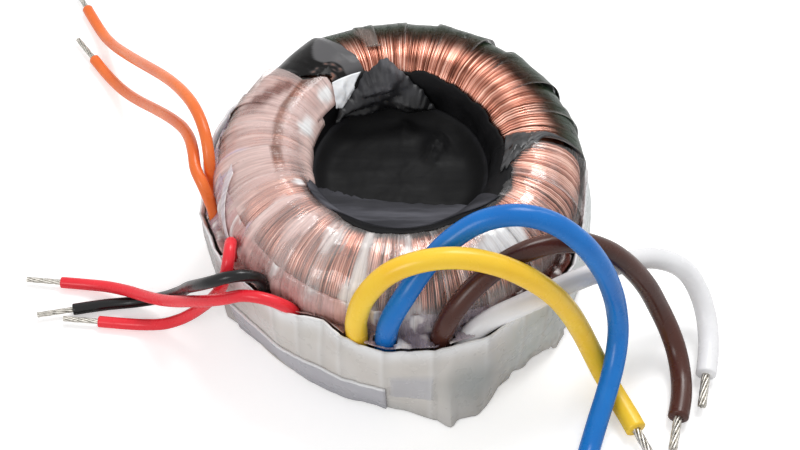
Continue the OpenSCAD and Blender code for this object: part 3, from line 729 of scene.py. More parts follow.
# Clear film: polyester tape is lapped round the ring over the wire. In front and at the left it is
# milky and creased, with a stray end of tape across it, and with painted glare, glints and shade in
# its colour. At the back only its outer edge shows, painted dark against the wire as shade.
clear_film, tree, shader = new_finish("clear polyester film")
veil, haze = painted(tree, "veil"), painted(tree, "haze", "Fac")
place = put(tree, "ShaderNodeSeparateXYZ", {
    0: put(tree, "ShaderNodeTexCoord").outputs["Object"]}).outputs
bearing = calc(tree, "ARCTAN2", place["Y"], place["X"])
away = calc(tree, "SQRT", calc(tree, "MULTIPLY_ADD", place["X"], place["X"],
                               calc(tree, "MULTIPLY", place["Y"], place["Y"])))
streaks_round, streaks_out = 15.0, 40.0
streak_at = put(tree, "ShaderNodeCombineXYZ", {
    0: calc(tree, "MULTIPLY", bearing, streaks_round), 1: calc(tree, "MULTIPLY", away, streaks_out),
    2: calc(tree, "MULTIPLY", place["Z"], streaks_out)}).outputs[0]
streaks = put(tree, "ShaderNodeTexNoise", {
    "Vector": streak_at, "Scale": 3.0, "Detail": 5.0}).outputs[0]
cloudy = speckle(tree, 240, 4)
milk = calc(tree, "MULTIPLY", haze, spread(tree, streaks, 0.55, 1.35))
milk = calc(tree, "MULTIPLY", milk, spread(tree, cloudy, 0.8, 1.15))
milk = put(tree, "ShaderNodeClamp", {"Value": milk, "Min": 0.02, "Max": 0.94}).outputs[0]
feed(tree, shader, {"Base Color": veil, "Alpha": milk, "Roughness": spread(tree, cloudy, 0.12, 0.34),
                    "Specular IOR Level": 0.15})
emboss(tree, shader, streaks, 0.00005)
shine = put(tree, "ShaderNodeBsdfAnisotropic", {
    "Color": white, "Roughness": 0.09, "Normal": shader.inputs["Normal"].links[0].from_socket})
outside = calc(tree, "SUBTRACT", 1.0, put(tree, "ShaderNodeNewGeometry").outputs["Backfacing"])
paleness = put(tree, "ShaderNodeSeparateColor", {0: veil}).outputs["Red"]
mirror_share = 0.036
mirror = calc(tree, "MULTIPLY", calc(tree, "MULTIPLY", paleness, mirror_share), outside)
both = put(tree, "ShaderNodeMixShader", {0: mirror, 1: shader.outputs[0], 2: shine.outputs[0]})
feed(tree, tree.nodes["Material Output"], {"Surface": both.outputs[0]})


def add_film(name, points, faces, looks, millimetres):
    """A piece of clear film. looks holds a colour and a haze for each point."""
    piece = add_piece(name, points, faces, clear_film)
    paint(piece, "veil", [colour for colour, amount in looks])
    paint(piece, "haze", [amount for colour, amount in looks])
    return thicken(piece, millimetres)


milky, chalk, lilac = screen(246, 218, 212), screen(244, 238, 236), screen(216, 200, 220)
olive, umber, rust = screen(33, 50, 33), screen(68, 49, 37), screen(132, 84, 66)
smoky, maroon = screen(150, 134, 126), screen(116, 58, 46)
dusty_pink, mauve, blush = screen(238, 196, 190), screen(186, 172, 184), screen(252, 222, 214)
front_haze = [(140, 0.16), (150, 0.4), (163, 0.56), (186, 0.52), (200, 0.36), (215, 0.18),
              (240, 0.12), (265, 0.1), (285, 0.04), (305, 0.02), (330, 0.02), (360, 0.03)]
inner_haze = [(143, 0.46), (165, 0.42), (185, 0.34), (198, 0.2), (215, 0.08), (357, 0.03)]
pleats = [(181.5, 0.8, 0.15, 0.75), (188, 0.7, -0.1, 0.5), (194.5, 0.9, 0.0, 0.4),
          (203, 0.7, -0.4, 0.3), (211, 0.8, -0.2, 0.5)]
# clouded lists white patches painted on the front film, each with its direction, its level and its reach
# both ways: painted glare.
clouded = [(309.5, 0.78, 11, 0.32), (147, 1.68, 4, 0.2), (164, 1.8, 6, 0.2), (206, 1.5, 2.5, 0.12)]
back_shift = [(10, 0.14), (45, 0.06), (80, -0.04)]


def foot_colour_and_shade(degrees):
    """Film at the foot, by direction: pink at the left, mauve in front, and a brown painted shade at the
    right.
    """
    return blend(blend(dusty_pink, mauve, ease(256, 270, degrees)), maroon, ease(290, 304, degrees))


def front_look(degrees, t, seed):
    """Colour and haze of the front film, from milky at the left to clear at the right."""
    amount = between(degrees, front_haze)*(0.7 + 0.6*seed)
    # Patches of extra white haze across the front: painted glare on the milky film.
    glare_patch = rough(degrees*0.17, t*1.5, 3) + 0.4*rough(degrees*0.6, t*3, 5)
    amount += 0.55*ease(0.18, 0.5, glare_patch)*ease(192, 212, degrees)*ease(300, 278, degrees)
    amount += (between(degrees, inner_haze)*(0.7 + 0.5*seed) - amount)*ease(1.34, 1.48, t)
    colour = blend(milky, chalk, ease(225, 250, degrees))
    band = ease(1.1, 1.2, t)*ease(1.42, 1.3, t)*ease(206, 186, degrees)*(0.6 + 0.4*seed)
    # Where the film stands off at the outer left it is painted smoky grey: painted shade in the gap under
    # it.
    stand_off_shade = ease(0.6, 0.3, t)*ease(180, 166, degrees)
    colour = blend(blend(colour, rust, band), smoky, stand_off_shade)
    amount += (0.34 - amount)*band + 0.15*stand_off_shade
    # At its foot the film takes the foot colour, with its painted shade at the right, and painted white
    # glints on its creases.
    foot = ease(0.32, 0.02, t)*ease(198, 214, degrees)
    glint = ease(0.2, 0.45, rough(degrees*0.3, t*3.2, 9))*ease(330, 312, degrees)
    colour = blend(colour, blend(foot_colour_and_shade(degrees), chalk, glint), 0.85*foot)
    amount += (0.5 + 0.36*glint - amount)*foot*(0.8 + 0.4*rough(degrees*0.8, t*2, 6))
    # Where the film tucks into the hole at the left it is painted near white: a painted highlight on the
    # tucked film.
    tucked = ease(1.7, 1.95, t)*ease(214, 200, degrees)
    colour, amount = blend(colour, blush, tucked), amount + (0.86 - amount)*tucked
    shaded = ease(0.17, 0.07, abs(t - 1.0 + 0.018*(degrees - 146)) + 0.03*rough(degrees*0.5, 6))
    shaded *= ease(142, 147, degrees)*ease(167, 158, degrees)
    colour, amount = blend(colour, maroon, 0.8*shaded), amount + (0.6 - amount)*shaded
    # Painted glare: white patches of nearly full haze at the places listed in clouded.
    for at, level, wide, high in clouded:
        from_middle = math.hypot((degrees - at)/wide, (t - level)/high)
        glare = ease(1.2, 0.5, from_middle + 0.4*rough(degrees*0.3, t*5))
        colour, amount = blend(colour, white, glare), amount + (0.92 - amount)*glare
    for at, half, low, high in pleats:
        fold = ease(half, 0.3*half, abs(degrees - at - 2*(t - low)))*ease(low - 0.1, low + 0.05, t)
        fold *= ease(high + 0.1, high - 0.05, t)
        colour, amount = blend(colour, lilac, fold), amount + (0.8 - amount)*fold
    return colour, amount


def back_look(degrees, t, seed):
    """Colour and haze of the back film: painted dark where it stands off the wire, a painted shade
    over the outer edge, and clear on the top.
    """
    t += between(degrees, back_shift)
    painted_edge_shade = ease(0.92, 0.62, t + 0.05*rough(degrees*0.3, 1))
    amount = 0.04 + 0.86*ease(0.98, 0.62, t + 0.08*rough(degrees*0.21, 5))*(0.8 + 0.25*seed)
    pale = ease(20, 8, degrees)*ease(0.1, -0.2, t)
    stuck = ease(4, 1.5, abs(degrees - 103 + 8*(t - 0.9)) + 2*rough(t*9, 4))*ease(0.5, 0.7, t)
    colour = blend(blend(umber, olive, painted_edge_shade), chalk, pale)
    return blend(colour, smoky, stuck), amount*(1 - 0.4*pale) + (0.32 - amount)*stuck


slack = [(4, 1), (85, 1), (104, 0.3), (117, 0.1), (168, 0.1), (186, 1), (357, 1)]
film_out, film_foot, film_thick = 3.86, -1.0, 0.05
tuck_out, pull_along = 0.5, 10
lap_rows, lap_cols, lap_half, lap_edge = 36, 20, 0.66, 0.32


def lap_film(name, node, start, stop, width, inner_end, look, crumple, seed):
    """Laps of film side by side along the ring, each raised at one edge to lie over the next."""
    dice = random.Random(seed)
    points, faces, looks = [], [], []
    half = width*lap_half
    for lap in range(round((stop - start)/width)):
        middle = start + width*(lap + 0.5) + dice.uniform(-1.2, 1.2)
        shade = dice.random()
        end = between(middle, inner_end) + dice.uniform(-0.1, 0.1)
        lift = dice.uniform(0, 0.1)
        rise = crumple*dice.uniform(0.4, 1.1)
        tilt = dice.uniform(-0.25, 0.25)

        def on_lap(u, v):
            t = film_foot + (end - film_foot)*u
            side = 2*v - 1
            degrees = middle - half*side
            loose = ease(-0.4, 0.05, t)*(1 - ease(1.1, 1.5, t))*between(degrees, slack)
            creased = rough(degrees*0.16, t*3.1, seed)
            creased += 0.5*abs(rough(degrees*0.55, t*4.3, seed + 2))
            raised = lift + rise*v + abs(tilt) + tilt*math.sin(2.2*t) + crumple*creased
            tucked = tuck_out*ease(1.6, 2.1, t)*ease(120, 140, degrees)*ease(210, 195, degrees)
            r, z = over_ring(film_out + raised*loose + tucked, t)
            pulled = pull_along*ease(1.2, 1.45, t)*ease(164, 144, degrees)*ease(120, 130, degrees)
            return polar(r/math.cos(math.radians(half*side))**0.9, degrees - pulled, z)

        lap_points, lap_faces = sheet_of(lap_rows, lap_cols, on_lap)
        faces += [tuple(len(points) + k for k in reversed(face)) for face in lap_faces]
        points += lap_points
        for u, v in shares(lap_rows, lap_cols):
            colour, amount = look(middle - half*(2*v - 1), film_foot + (end - film_foot)*u, shade)
            cut = lap_edge if v == 1 else 0.0
            looks.append((blend(colour, chalk, cut), max(amount, cut)))
    settle(add_film(name, points, faces, looks, film_thick), "clear_film", node)


lap_film("film_laps_front", "film_front", start=143, stop=357, width=14.3, look=front_look, crumple=0.2,
         seed=5, inner_end=[(150, 1.9), (165, 2.1), (180, 2.4), (196, 2.45), (208, 1.98), (226, 1.6)])

tape_from, tape_to, tape_wide = (190, 0.58), (208, 0.02), 4.4
tape_rows, tape_cols, tape_thick = 28, 5, 0.06
tape_out, tape_bow = 4.45, 0.12


def on_tape(u, v):
    degrees = tape_from[0] + (tape_to[0] - tape_from[0])*u + tape_wide*(v - 0.5)
    t = tape_from[1] + (tape_to[1] - tape_from[1])*u
    r, z = over_ring(tape_out + tape_bow*math.sin(math.pi*u), t)
    return polar(r, degrees, z)


points, faces = sheet_of(tape_rows, tape_cols, on_tape)
faces = [tuple(reversed(face)) for face in faces]
tape_middle, tape_edge = (blend(lilac, chalk, 0.6), 0.55), (chalk, 0.85)
looks = [tape_middle if 0 < v < 1 else tape_edge for u, v in shares(tape_rows, tape_cols)]
settle(add_film("tape_end", points, faces, looks, tape_thick), "clear_film")

lap_film("film_laps_back", "film_back", start=4, stop=117, width=14.1, look=back_look, crumple=0.1,
         seed=11, inner_end=[(4, 1.08)])


# Leads: stranded wire in coloured vinyl, four thick and five thin. Each is spliced to the windings
# under the skirt, comes up past its rim, and bends over to lie on the floor, its end bare.
def smooth_line(points, steps):
    """A smooth line through points, with so many steps from each to the next."""
    line = []
    last = len(points) - 1
    for i in range(last):
        before, here, there, after = (points[max(i - 1, 0)], points[i], points[i + 1],
                                      points[min(i + 2, last)])
        for k in range(steps):
            t = k/steps
            line.append(0.5*(2*here + (there - before)*t
                             + (2*before - 5*here + 4*there - after)*t*t
                             + (3*here - before - 3*there + after)*t**3))
    return line + [points[last]]


def tube(line, radii, sides):
    """Points and faces of a round tube along a line, its ends closed."""
    points, faces = [], []
    turns = [2*math.pi*k/sides for k in range(sides)]
    side = None
    for i, (here, radius) in enumerate(zip(line, radii)):
        ahead = (line[min(i + 1, len(line) - 1)] - line[max(i - 1, 0)]).normalized()
        if side is None:
            side = ahead.orthogonal()
        side = (side - ahead*side.dot(ahead)).normalized()
        across = ahead.cross(side)
        points += [here + (side*math.cos(turn) + across*math.sin(turn))*radius for turn in turns]
    for i in range(len(line) - 1):
        for k in range(sides):
            a, b = i*sides + k, i*sides + (k + 1) % sides
            faces.append((a, b, b + sides, a + sides))
    faces.append(tuple(reversed(range(sides))))
    faces.append(tuple(range(len(points) - sides, len(points))))
    return points, faces


def vinyl(name, dark, light):
    """Extruded vinyl: a little uneven in colour and gloss, with fine marks along it."""
    material, tree, shader = new_finish(name)
    feed(tree, shader, {
        "Base Color": tint(tree, speckle(tree, 160, 4), [(0.3, dark), (0.7, light)]),
        "Roughness": spread(tree, speckle(tree, 500), 0.2, 0.32), "Specular IOR Level": 0.34})
    emboss(tree, shader, speckle(tree, 900, 2), 0.000004)
    return material


strander, given = new_maker(
    "strands twisted round a line", ("Line", "Geometry"), ("Strands round the middle one", "Int"),
    ("Steps", "Int"), ("Lay radius", "Float"), ("Strand radius", "Float"), ("Twist", "Float"),
    ("Metal", "Material"))
ringed = given["Strands round the middle one"]
line = put(strander, "GeometryNodeMeshToCurve", {"Mesh": given["Line"]}).outputs[0]
line = put(strander, "GeometryNodeResampleCurve", {"Curve": line, "Count": given["Steps"]}).outputs[0]
copies = put(strander, "GeometryNodeDuplicateElements", {
    "Geometry": line, "Amount": calc(strander, "ADD", ringed, 1.0)}, domain="SPLINE").outputs
along = put(strander, "GeometryNodeSplineParameter").outputs["Factor"]
set_out = calc(strander, "MULTIPLY", copies["Duplicate Index"], 2*math.pi)
turned = calc(strander, "MULTIPLY_ADD", along, given["Twist"], calc(strander, "DIVIDE", set_out, ringed))
sideways = put(strander, "ShaderNodeVectorRotate", {
    "Vector": put(strander, "GeometryNodeInputNormal").outputs[0],
    "Axis": put(strander, "GeometryNodeInputTangent").outputs[0], "Angle": turned},
    rotation_type="AXIS_ANGLE").outputs[0]
not_middle = calc(strander, "GREATER_THAN", copies["Duplicate Index"], 0.5)
moved = put(strander, "ShaderNodeVectorMath", {
    0: sideways, "Scale": calc(strander, "MULTIPLY", not_middle, given["Lay radius"])},
    operation="SCALE").outputs[0]
laid = put(strander, "GeometryNodeSetPosition", {"Geometry": copies["Geometry"],
                                                 "Offset": moved}).outputs[0]
draw_round(strander, laid, given["Strand radius"], given["Metal"])

tinned = grained("tinned copper strand", [(0.3, (168, 164, 156)), (0.7, (214, 210, 202))],
                 gloss=(0.22, 0.42), depth=0.00001, scale=1800, metal=1.0)

vinyls = {"lead_" + colour: vinyl(colour + " vinyl", dark, light) for colour, dark, light in (
    ("yellow", (251, 200, 48), (255, 214, 66)), ("blue", (8, 108, 192), (18, 121, 206)),
    ("brown", (66, 34, 26), (82, 43, 33)), ("white", (238, 238, 240), (248, 248, 250)),
    ("orange", (238, 112, 48), (248, 128, 62)), ("red", (236, 42, 56), (246, 54, 66)),
    ("black", (12, 12, 13), (22, 22, 24)))}
thick, thin = 2.8, 1.6
route_steps, sides = 8, {thick: 18, thin: 14}
cut_round, cut_narrow = 0.12, 0.9
bundle, end_length, end_hidden = {thick: 1.2, thin: 0.8}, 5.0, 0.4
leads = {
    "yellow": ("lead_yellow", thick, 0.0708, [
        (-5.4, -25.2, 12), (-5.4, -25.2, 16), (-5.4, -25.2, 20), (-4.3, -24.8, 24.3), (-1.5, -24, 28),
        (2.5, -23.5, 30), (7, -23.2, 30.3), (11.5, -23.2, 29), (15.5, -23, 26), (18.8, -22.5, 21.8),
        (21.3, -21.8, 16.8), (23.3, -21.2, 11.5), (25, -21.2, 6.8), (26.6, -22.4, 3.6),
        (28.2, -24.6, 1.9), (29.6, -27.2, 1.4), (30.8, -30, 1.4)]),
    "blue": ("lead_blue", thick, 0.0785, [
        (-1.8, -25.7, 12), (-1.8, -25.7, 16), (-1.2, -25.4, 20), (0.8, -23.8, 23.6), (3.3, -21.5, 26.5),
        (6.3, -19.7, 29.3), (10, -18.7, 31.7), (14.3, -18.4, 32.5), (18.5, -18.6, 31.2),
        (22.2, -19.2, 28), (25, -19.5, 23.3), (26.9, -19.4, 17.8), (28, -19.3, 12.8),
        (28.4, -20.4, 9.3), (28, -23, 6.8), (27, -26.2, 4.7), (25.8, -29.4, 2.8), (24.7, -32.6, 1.6),
        (23.7, -35.8, 1.4)]),
    "brown": ("lead_brown", thick, 0.0664, [
        (5.2, -25.3, 12), (5.2, -25.3, 16), (6.2, -24.9, 20), (8.8, -23.1, 23.3), (12.5, -20.8, 25.5),
        (16.8, -18.6, 26), (21.3, -16.8, 24.8), (25.5, -15.8, 22), (29, -15.3, 18), (32, -15.1, 13),
        (34.2, -15.4, 8.2), (35.9, -16.6, 4.7), (37, -18.8, 2.5), (37.4, -21.8, 1.5),
        (37.2, -25, 1.4), (36.5, -28.2, 1.4)]),
    "white": ("lead_white", thick, 0.0554, [
        (8.2, -24.5, 12), (8.3, -24.5, 14), (9.6, -24, 15.9), (12, -22.9, 17.1), (15.1, -21.6, 17.6),
        (18.5, -19.8, 17.7), (22, -17.6, 17.2), (25.5, -15.2, 16), (29, -12.8, 14.6),
        (32.5, -10.9, 13), (35.7, -10.2, 11.3), (38.3, -10, 8.7), (40.1, -10.9, 5.9),
        (41.2, -12.8, 3.6), (41.6, -15.5, 2.1), (41.4, -18.5, 1.5), (40.8, -21.6, 1.4)]),
    "red_front": ("lead_red", thin, 0.0493, [
        (-13.3, -21.4, 12), (-13.3, -21.4, 14.4), (-13.7, -21.6, 16.7), (-15.2, -21.8, 18.5),
        (-17.4, -21.5, 19.3), (-19.9, -20.9, 18.9), (-22.3, -20.2, 17.2), (-24.9, -18.9, 14.8),
        (-27.4, -17.2, 12.2), (-29.8, -15.3, 9.4), (-32.2, -13.2, 6.7), (-34.7, -11, 4.4),
        (-37.4, -9, 2.7), (-40.4, -7.5, 1.5), (-43.6, -6.7, 0.9), (-46.8, -6.3, 0.8)]),
    "red_rear": ("lead_red", thin, 0.0435, [
        (-21.8, -12.7, 12), (-21.8, -12.7, 14.2), (-21.8, -12.7, 16.4), (-21.7, -12.9, 18.5),
        (-21.6, -13.7, 20.3), (-21.6, -15.3, 21), (-21.8, -16.9, 20.3), (-22.2, -17.6, 18.5),
        (-22.8, -17.5, 16.3), (-23.5, -17, 14.1), (-24.3, -16.3, 11.9), (-25.2, -15.6, 9.7),
        (-26.4, -15, 7.5), (-27.9, -14.6, 5.4), (-29.8, -14.3, 3.5), (-32.2, -14, 2), (-35, -13.5, 1.1),
        (-38, -13.1, 0.8), (-41, -12.8, 0.8)]),
    "black": ("lead_black", thin, 0.048, [
        (-17.3, -18.3, 12), (-17.3, -18.3, 14.6), (-17.3, -18.4, 17.2), (-17.9, -18.7, 19.5),
        (-19.6, -19.2, 20.9), (-21.7, -19.5, 20.9), (-23.7, -19.3, 19.7), (-25.3, -18.4, 17.8),
        (-26.6, -17, 15.4), (-27.7, -15.3, 12.6), (-28.8, -13.8, 9.7), (-30.1, -12.4, 7),
        (-31.8, -11.1, 4.3), (-34, -10.2, 2.3), (-36.6, -9.8, 1.1), (-39.3, -9.9, 0.8),
        (-42, -10.3, 0.8), (-44.7, -10.8, 0.8)]),
    "orange_upper": ("lead_orange", thin, 0.0676, [
        (-25.1, -1.9, 12), (-25.1, -1.9, 15), (-25.1, -1.7, 18), (-25.1, -0.6, 20.8),
        (-25.5, 1.6, 22.6), (-26.4, 4.4, 23.2), (-27.7, 7.4, 22.9), (-29.3, 10.5, 21.7),
        (-31.1, 13.8, 19.8), (-33, 17.2, 17.4), (-35, 20.7, 14.7), (-37, 24.3, 11.8), (-39, 28, 8.8),
        (-41, 31.7, 5.9), (-43, 35.3, 3.3), (-45, 38.8, 1.5), (-46.8, 42.1, 0.9), (-48.5, 45.3, 0.8)]),
    "orange_lower": ("lead_orange", thin, 0.0572, [
        (-24.7, -4.9, 12), (-24.7, -4.9, 14.8), (-25.1, -4.6, 17.2), (-25.9, -3.5, 19.2),
        (-26.9, -1.5, 20.1), (-27.4, 1.2, 20.3), (-28.1, 4, 19.6), (-29.2, 6.8, 18.3),
        (-30.7, 9.6, 16.5), (-32.4, 12.6, 14.2), (-34.2, 15.8, 11.5), (-36, 19, 8.7), (-37.9, 22.2, 6),
        (-39.9, 25.4, 3.6), (-42, 28.6, 1.8), (-44.2, 31.8, 0.9), (-46.4, 34.9, 0.8)]),
}
for lead, (colour, size, length, route) in leads.items():
    line = smooth_line([Vector(p)*MM for p in route], route_steps)
    for point in line:
        point.z = max(point.z, size/2*MM)
    outward = (line[-1] - line[-2]).normalized()
    radii = [size/2*MM]*len(line) + [size/2*cut_narrow*MM]
    line.append(line[-1] + outward*cut_round*MM)
    points, faces = tube(line, radii, sides[size])
    cover = add_piece("cover_" + lead, points, faces, vinyls[colour])
    settle(cover, colour, "lead_" + lead)
    stripped_at = Vector(route[-1])*MM
    middle_line = bpy.data.meshes.new("middle of " + lead)
    middle_line.from_pydata([stripped_at - outward*end_hidden*MM, stripped_at + outward*end_length*MM],
                            [(0, 1)], [])
    strands = grown("strands_" + lead, middle_line, strander, {
        "Strands round the middle one": 6, "Steps": 14, "Lay radius": bundle[size]/3*MM,
        "Strand radius": bundle[size]/6*MM, "Twist": 3.6, "Metal": tinned})
    settle(strands, "tinned_copper", "end_" + lead)

sleeve_vinyl = vinyl("splice sleeve vinyl", (210, 206, 198), (228, 224, 216))
finish_node("splice_sleeves", sleeve_vinyl)


# Skirt: a sheet of pale insulation wound round the lower half, with the leads between it and the
# ring. It is pressed flat between folds, drawn to an ear in front, and stands on the base sheet.
def sheet_finish(name, plain):
    """Pale plastic sheet, its colour from the sheet's own wash, or one plain colour, with clouds."""
    material, tree, shader = new_finish(name)
    clouds = spread(tree, speckle(tree, 150, 5), 0.93, 1.05)
    clouded = put(tree, "ShaderNodeCombineColor", {0: clouds, 1: clouds, 2: clouds}).outputs[0]
    wash = plain or painted(tree, "wash")
    feed(tree, shader, {"Base Color": mix(tree, 1.0, wash, clouded, blend_type="MULTIPLY"),
                        "Roughness": spread(tree, speckle(tree, 300), 0.2, 0.4)})
    emboss(tree, shader, speckle(tree, 220, 2), 0.000015)
    return material


pale_sheet = sheet_finish("pale insulation sheet", None)
finish_node("base_sheet", sheet_finish("pale base sheet", screen(200, 195, 188)))
finish_node("splice_pad", sleeve_vinyl)

foot_r, rim_back, rim_thin, rim_thick = 25.5, 25.3, 26.55, 27.75
thin_from, thin_to, thick_from, thick_to = -206, -30, -107, -62
belly_out, belly_from, belly_to = 1.3, -28, 40
foot_draw = [(-176, 0), (-165, 0.3), (-154, 0.5), (-148, -0.8), (-138, -1.2), (-127, -1.5), (-115, -1.0),
             (-104, -0.5), (-94, -0.2), (-86, 0)]
rim_soft = 14
rim_tuck = [(-124, 0), (-119, 0.5), (-112, 1.1), (-106, 0.5), (-102, 0)]
fold_crown, sheet_foot = 0.32, 0.1
folds = [-248, -227, -208, -189, -172, -154, -147, -127, -119, -112, -106, -94, -81, -66, -53, -45, -31,
         -15, 4, 24, 46, 68, 90, 112]
ear_reach = [(-97, 0), (-88, 1.0), (-80, 2.6), (-77.6, 4.1), (-76.6, 4.2), (-74.6, 3.2), (-69.5, 3.4),
             (-65.5, 2.2), (-60, 0.6), (-54, 0.1), (-46, 0.1), (-38, 1.0), (-35, 0.9), (-30, 0)]
rim_knots = [(-248, 14.5), (-227, 14.8), (-212, 15.8), (-205, 16.7), (-197, 16.5), (-189, 14.2),
             (-180, 12.8), (-174, 12.8), (-167, 14.2), (-156, 16.8), (-145, 16.8), (-135, 17.2),
             (-128, 17.5), (-124, 17.3), (-119, 17.9), (-112, 17.8), (-106, 17.9), (-101, 16.9),
             (-76, 16.8), (-66, 16.9), (-59, 16.9), (-48, 16.3), (-44, 16.2), (-34, 15.4), (-25, 14.8),
             (0, 15.5), (24, 15), (112, 14.5)]
pad_left, pad_right, pad_low, pad_high = -1.2, 4.2, 5.6, 11.0
pad_from, pad_to, pad_push = -110, -50, 0.5


def plateau(degrees, start, stop):
    """1 between two directions, going softly to 0 outside them."""
    return ease(-0.5, 0.5, (degrees - start)/rim_soft)*ease(-0.5, 0.5, (stop - degrees)/rim_soft)


def skirt_radius(degrees, level):
    """Radius of the sheet's outside, as it flares from its foot to the rim round the leads."""
    rim = (rim_back + (rim_thin - rim_back)*plateau(degrees, thin_from, thin_to)
           + (rim_thick - rim_thin)*plateau(degrees, thick_from, thick_to))
    belly = belly_out*plateau(degrees, belly_from, belly_to)
    foot = foot_r + between(degrees, foot_draw)
    return (foot + (rim - 0.45*belly - foot)*math.sin(math.pi/2*min(1, 1.35*level))
            + belly*math.sin(math.pi*level) - between(degrees, rim_tuck)*ease(0.45, 1, level))


def pressed_radius(degrees, level):
    """The same radius with the sheet pressed flat between one fold and the next, and the ear."""
    for a, b in zip(folds, folds[1:]):
        if a <= degrees <= b:
            break
    start, stop = skirt_radius(a, level) + fold_crown, skirt_radius(b, level) + fold_crown
    turn, first = math.radians(b - a), math.radians(degrees - a)
    flat = start*stop*math.sin(turn)/(start*math.sin(first) + stop*math.sin(turn - first))
    return flat + between(degrees, ear_reach)*max(0, 1 - level)**2


def on_pad(degrees, r, z):
    """1 where the flat pad under the sheet pushes it out, 0 elsewhere."""
    if degrees < pad_from or degrees > pad_to:
        return 0
    x = r*math.cos(math.radians(degrees))
    return (ease(pad_left - 0.4, pad_left + 0.4, x)*ease(pad_right + 0.4, pad_right - 0.4, x)
            *ease(pad_low - 0.5, pad_low + 0.5, z)*ease(pad_high + 0.5, pad_high - 0.5, z))


def rim_height(degrees):
    """Height of the rim, which is cut in a wavy line."""
    return between(degrees, rim_knots) + 0.35*rough(degrees*0.11, 4) + 0.2*rough(degrees*0.45, 9)


def on_skirt(degrees, level, offset):
    """A point of the sheet, by direction and by its level from the foot at 0 to the rim at 1."""
    r = pressed_radius(degrees, level) + offset
    z = sheet_foot + (rim_height(degrees) - sheet_foot)*level
    r += 0.14*rough(degrees*0.12, level*3, 2) + 0.07*rough(degrees*0.4, level*8, 6)
    r += 0.3*ease(0.95, 1.0, level)
    hem = ease(-62, -54, degrees)*ease(-24, -32, degrees)*max(0, 1 - level*2.2)
    r += 0.6*hem*abs(rough(degrees*0.33, level*7, 5))
    z += 1.1*hem*hem*ease(0, 0.3, rough(degrees*0.2, 3) + 0.3)
    return polar(r + pad_push*on_pad(degrees, r, z), degrees, z)


rim_tone, front_tone, foot_shade_tone = screen(244, 245, 247), screen(203, 197, 190), screen(182, 178, 173)
left_tone, right_tone = screen(170, 170, 168), screen(190, 198, 197)
pad_tone, far_tone = screen(172, 171, 177), screen(142, 145, 142)


def skirt_wash(degrees, level):
    """Colour of the sheet: greener at the right, with painted light paling it to the rim, painted
    shade at its foot and right of the ear, and painted light and shade on the sides of its folds.
    """
    side = blend(front_tone, left_tone, ease(-130, -160, degrees))
    side = blend(side, far_tone, ease(-178, -190, degrees)*ease(-226, -214, degrees))
    side = blend(side, right_tone, ease(-66, -50, degrees))
    # The rim is painted pale, a painted highlight along it, and the foot darker, a painted shade near the
    # floor.
    colour = blend(blend(foot_shade_tone, side, ease(0, 0.3, level)), rim_tone,
                   0.85*ease(0.74, 1.0, level)**1.5)
    r = pressed_radius(degrees, level)
    colour = blend(colour, pad_tone, 0.8*on_pad(degrees, r, rim_height(degrees)*level))
    # Each fold is painted lighter on one side and darker on the other: painted light and shade.
    for fold in folds:
        fold_light_and_shade = ease(1.6, 0.2, abs(degrees - fold))
        colour = blend(colour, rim_tone if degrees < fold else foot_shade_tone, 0.45*fold_light_and_shade)
    # A broad painted shade right of the ear, along a fold.
    ear_fold_shade = ease(1.3, 0.1, math.hypot((degrees + 70)/11, (level - 0.44)/0.4))
    colour = blend(colour, far_tone, ear_fold_shade)
    cloud = 0.5 + 0.5*rough(degrees*0.15, level*4, 8)
    return blend(colour, rim_tone, 0.25*cloud)


def skirt_piece(name, slot, node, start, stop, low, high, offset, thickness, rows, wash, material):
    """A sheet on the skirt's surface, with a colour at each point."""
    def direction_and_level(u, v):
        return start + (stop - start)*v, low + (high - low)*u

    cols, bend = round(stop - start) + 1, 24
    piece = add_sheet(name, rows, cols, lambda u, v: on_skirt(*direction_and_level(u, v), offset),
                      material, thickness, -1.0)
    paint(piece, "wash", [wash(*direction_and_level(u, v)) for u, v in shares(rows, cols)])
    crease(piece, bend)
    settle(piece, slot, node)


skirt_piece("skirt_sheet", "pale_sheet", "skirt", start=-248, stop=112, low=0.0, high=1.0, offset=0.0,
            thickness=0.3, rows=52, wash=skirt_wash, material=pale_sheet)


# Second strip: a narrower strip of lilac-grey sheet is stuck round the foot of the skirt at the
# left, and stops at a seam in front.
band_end, cut_from = 0.44, 0.428
band_top, band_body, band_foot = screen(238, 238, 240), screen(182, 181, 187), screen(168, 167, 174)


def band_wash(degrees, level):
    """Lilac grey, with a pale cut edge along the top."""
    body = blend(band_foot, band_body, ease(0, 0.3, level))
    return blend(body, band_top, ease(cut_from, band_end, level))


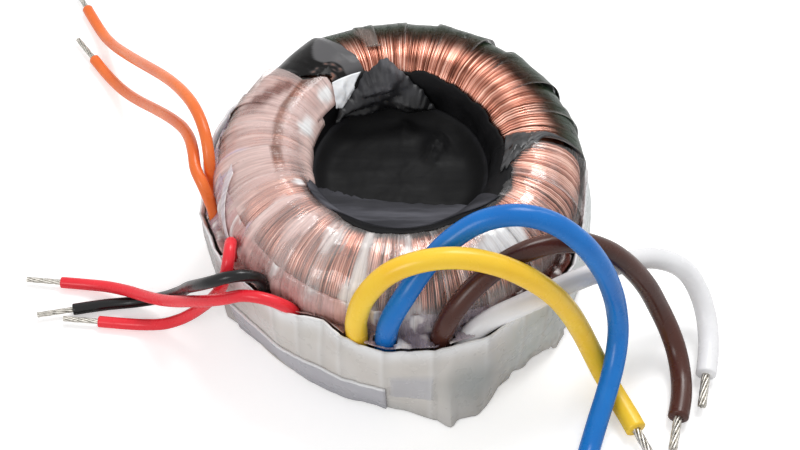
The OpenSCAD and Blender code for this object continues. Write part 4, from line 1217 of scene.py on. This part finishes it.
lilac_sheet = sheet_finish("lilac-grey sheet", None)
skirt_piece("skirt_strip", "lilac_sheet", "skirt_band", start=-148, stop=-94, low=0.015, high=band_end,
            offset=0.42, thickness=0.38, rows=24, wash=band_wash, material=lilac_sheet)


# Loose film: spare clear film is crumpled down between the ring and the skirt's rim, and the leads
# come up through slits in it. Painted white glints mark its creases.
ruffle_from, ruffle_to, ruffle_rows, ruffle_cols = -216, -28, 190, 17
ruffle_thick, ruffle_bend, slit_gap = 0.04, 20, 0.1
ruffle_out, ruffle_low, ruffle_rise, ruffle_wave = 4.12, -0.12, 0.55, 0.6
ruffle_top = [(-204, 0.1), (-160, 0.45), (-105, 0.3), (-60, 0.1), (-28, 0.0)]
rim_in, rim_below = 0.55, 0.25
ruffle_looks = []
risen_points, risen_steps = 9, 6
risen_leads = [(size, smooth_line([Vector(p)*MM for p in route[:risen_points]], risen_steps))
               for colour, size, length, route in leads.values()]


def on_ruffle(u, v):
    degrees = ruffle_from + (ruffle_to - ruffle_from)*u
    creased = rough(degrees*0.24, v*2.2, 3) + 0.4*rough(degrees*0.6, v*4, 7)
    if v < 0.5:
        r, z = over_ring(ruffle_out + ruffle_rise*abs(creased),
                         between(degrees, ruffle_top)*(1 - 2*v) + ruffle_low*2*v)
    else:
        share = 2*v - 1
        out_r, out_z = over_ring(ruffle_out, ruffle_low)
        r = out_r + (pressed_radius(degrees, 1.0) - rim_in - out_r)*share
        z = out_z + (rim_height(degrees) - rim_below - out_z)*share
        z += ruffle_wave*creased*math.sin(math.pi*share)
    # Painted white glints on the creases, over the foot colour and its painted shade.
    glint = ease(0.1, 0.34, creased)
    bare = blend(foot_colour_and_shade(degrees + 360), lilac, ease(-150, -175, degrees))
    ruffle_looks.append((blend(bare, chalk, glint), 0.4 + 0.32*glint))
    return polar(r, degrees, z)


points, faces = sheet_of(ruffle_rows, ruffle_cols, on_ruffle)
faces = [face for face in faces if all(
    (sum((points[k] for k in face), Vector())/4 - here).length > (size/2 + slit_gap)*MM
    for size, line in risen_leads for here in line)]
ruffle = add_film("loose_film", points, faces, ruffle_looks, ruffle_thick)
crease(ruffle, ruffle_bend)
settle(ruffle, "clear_film")
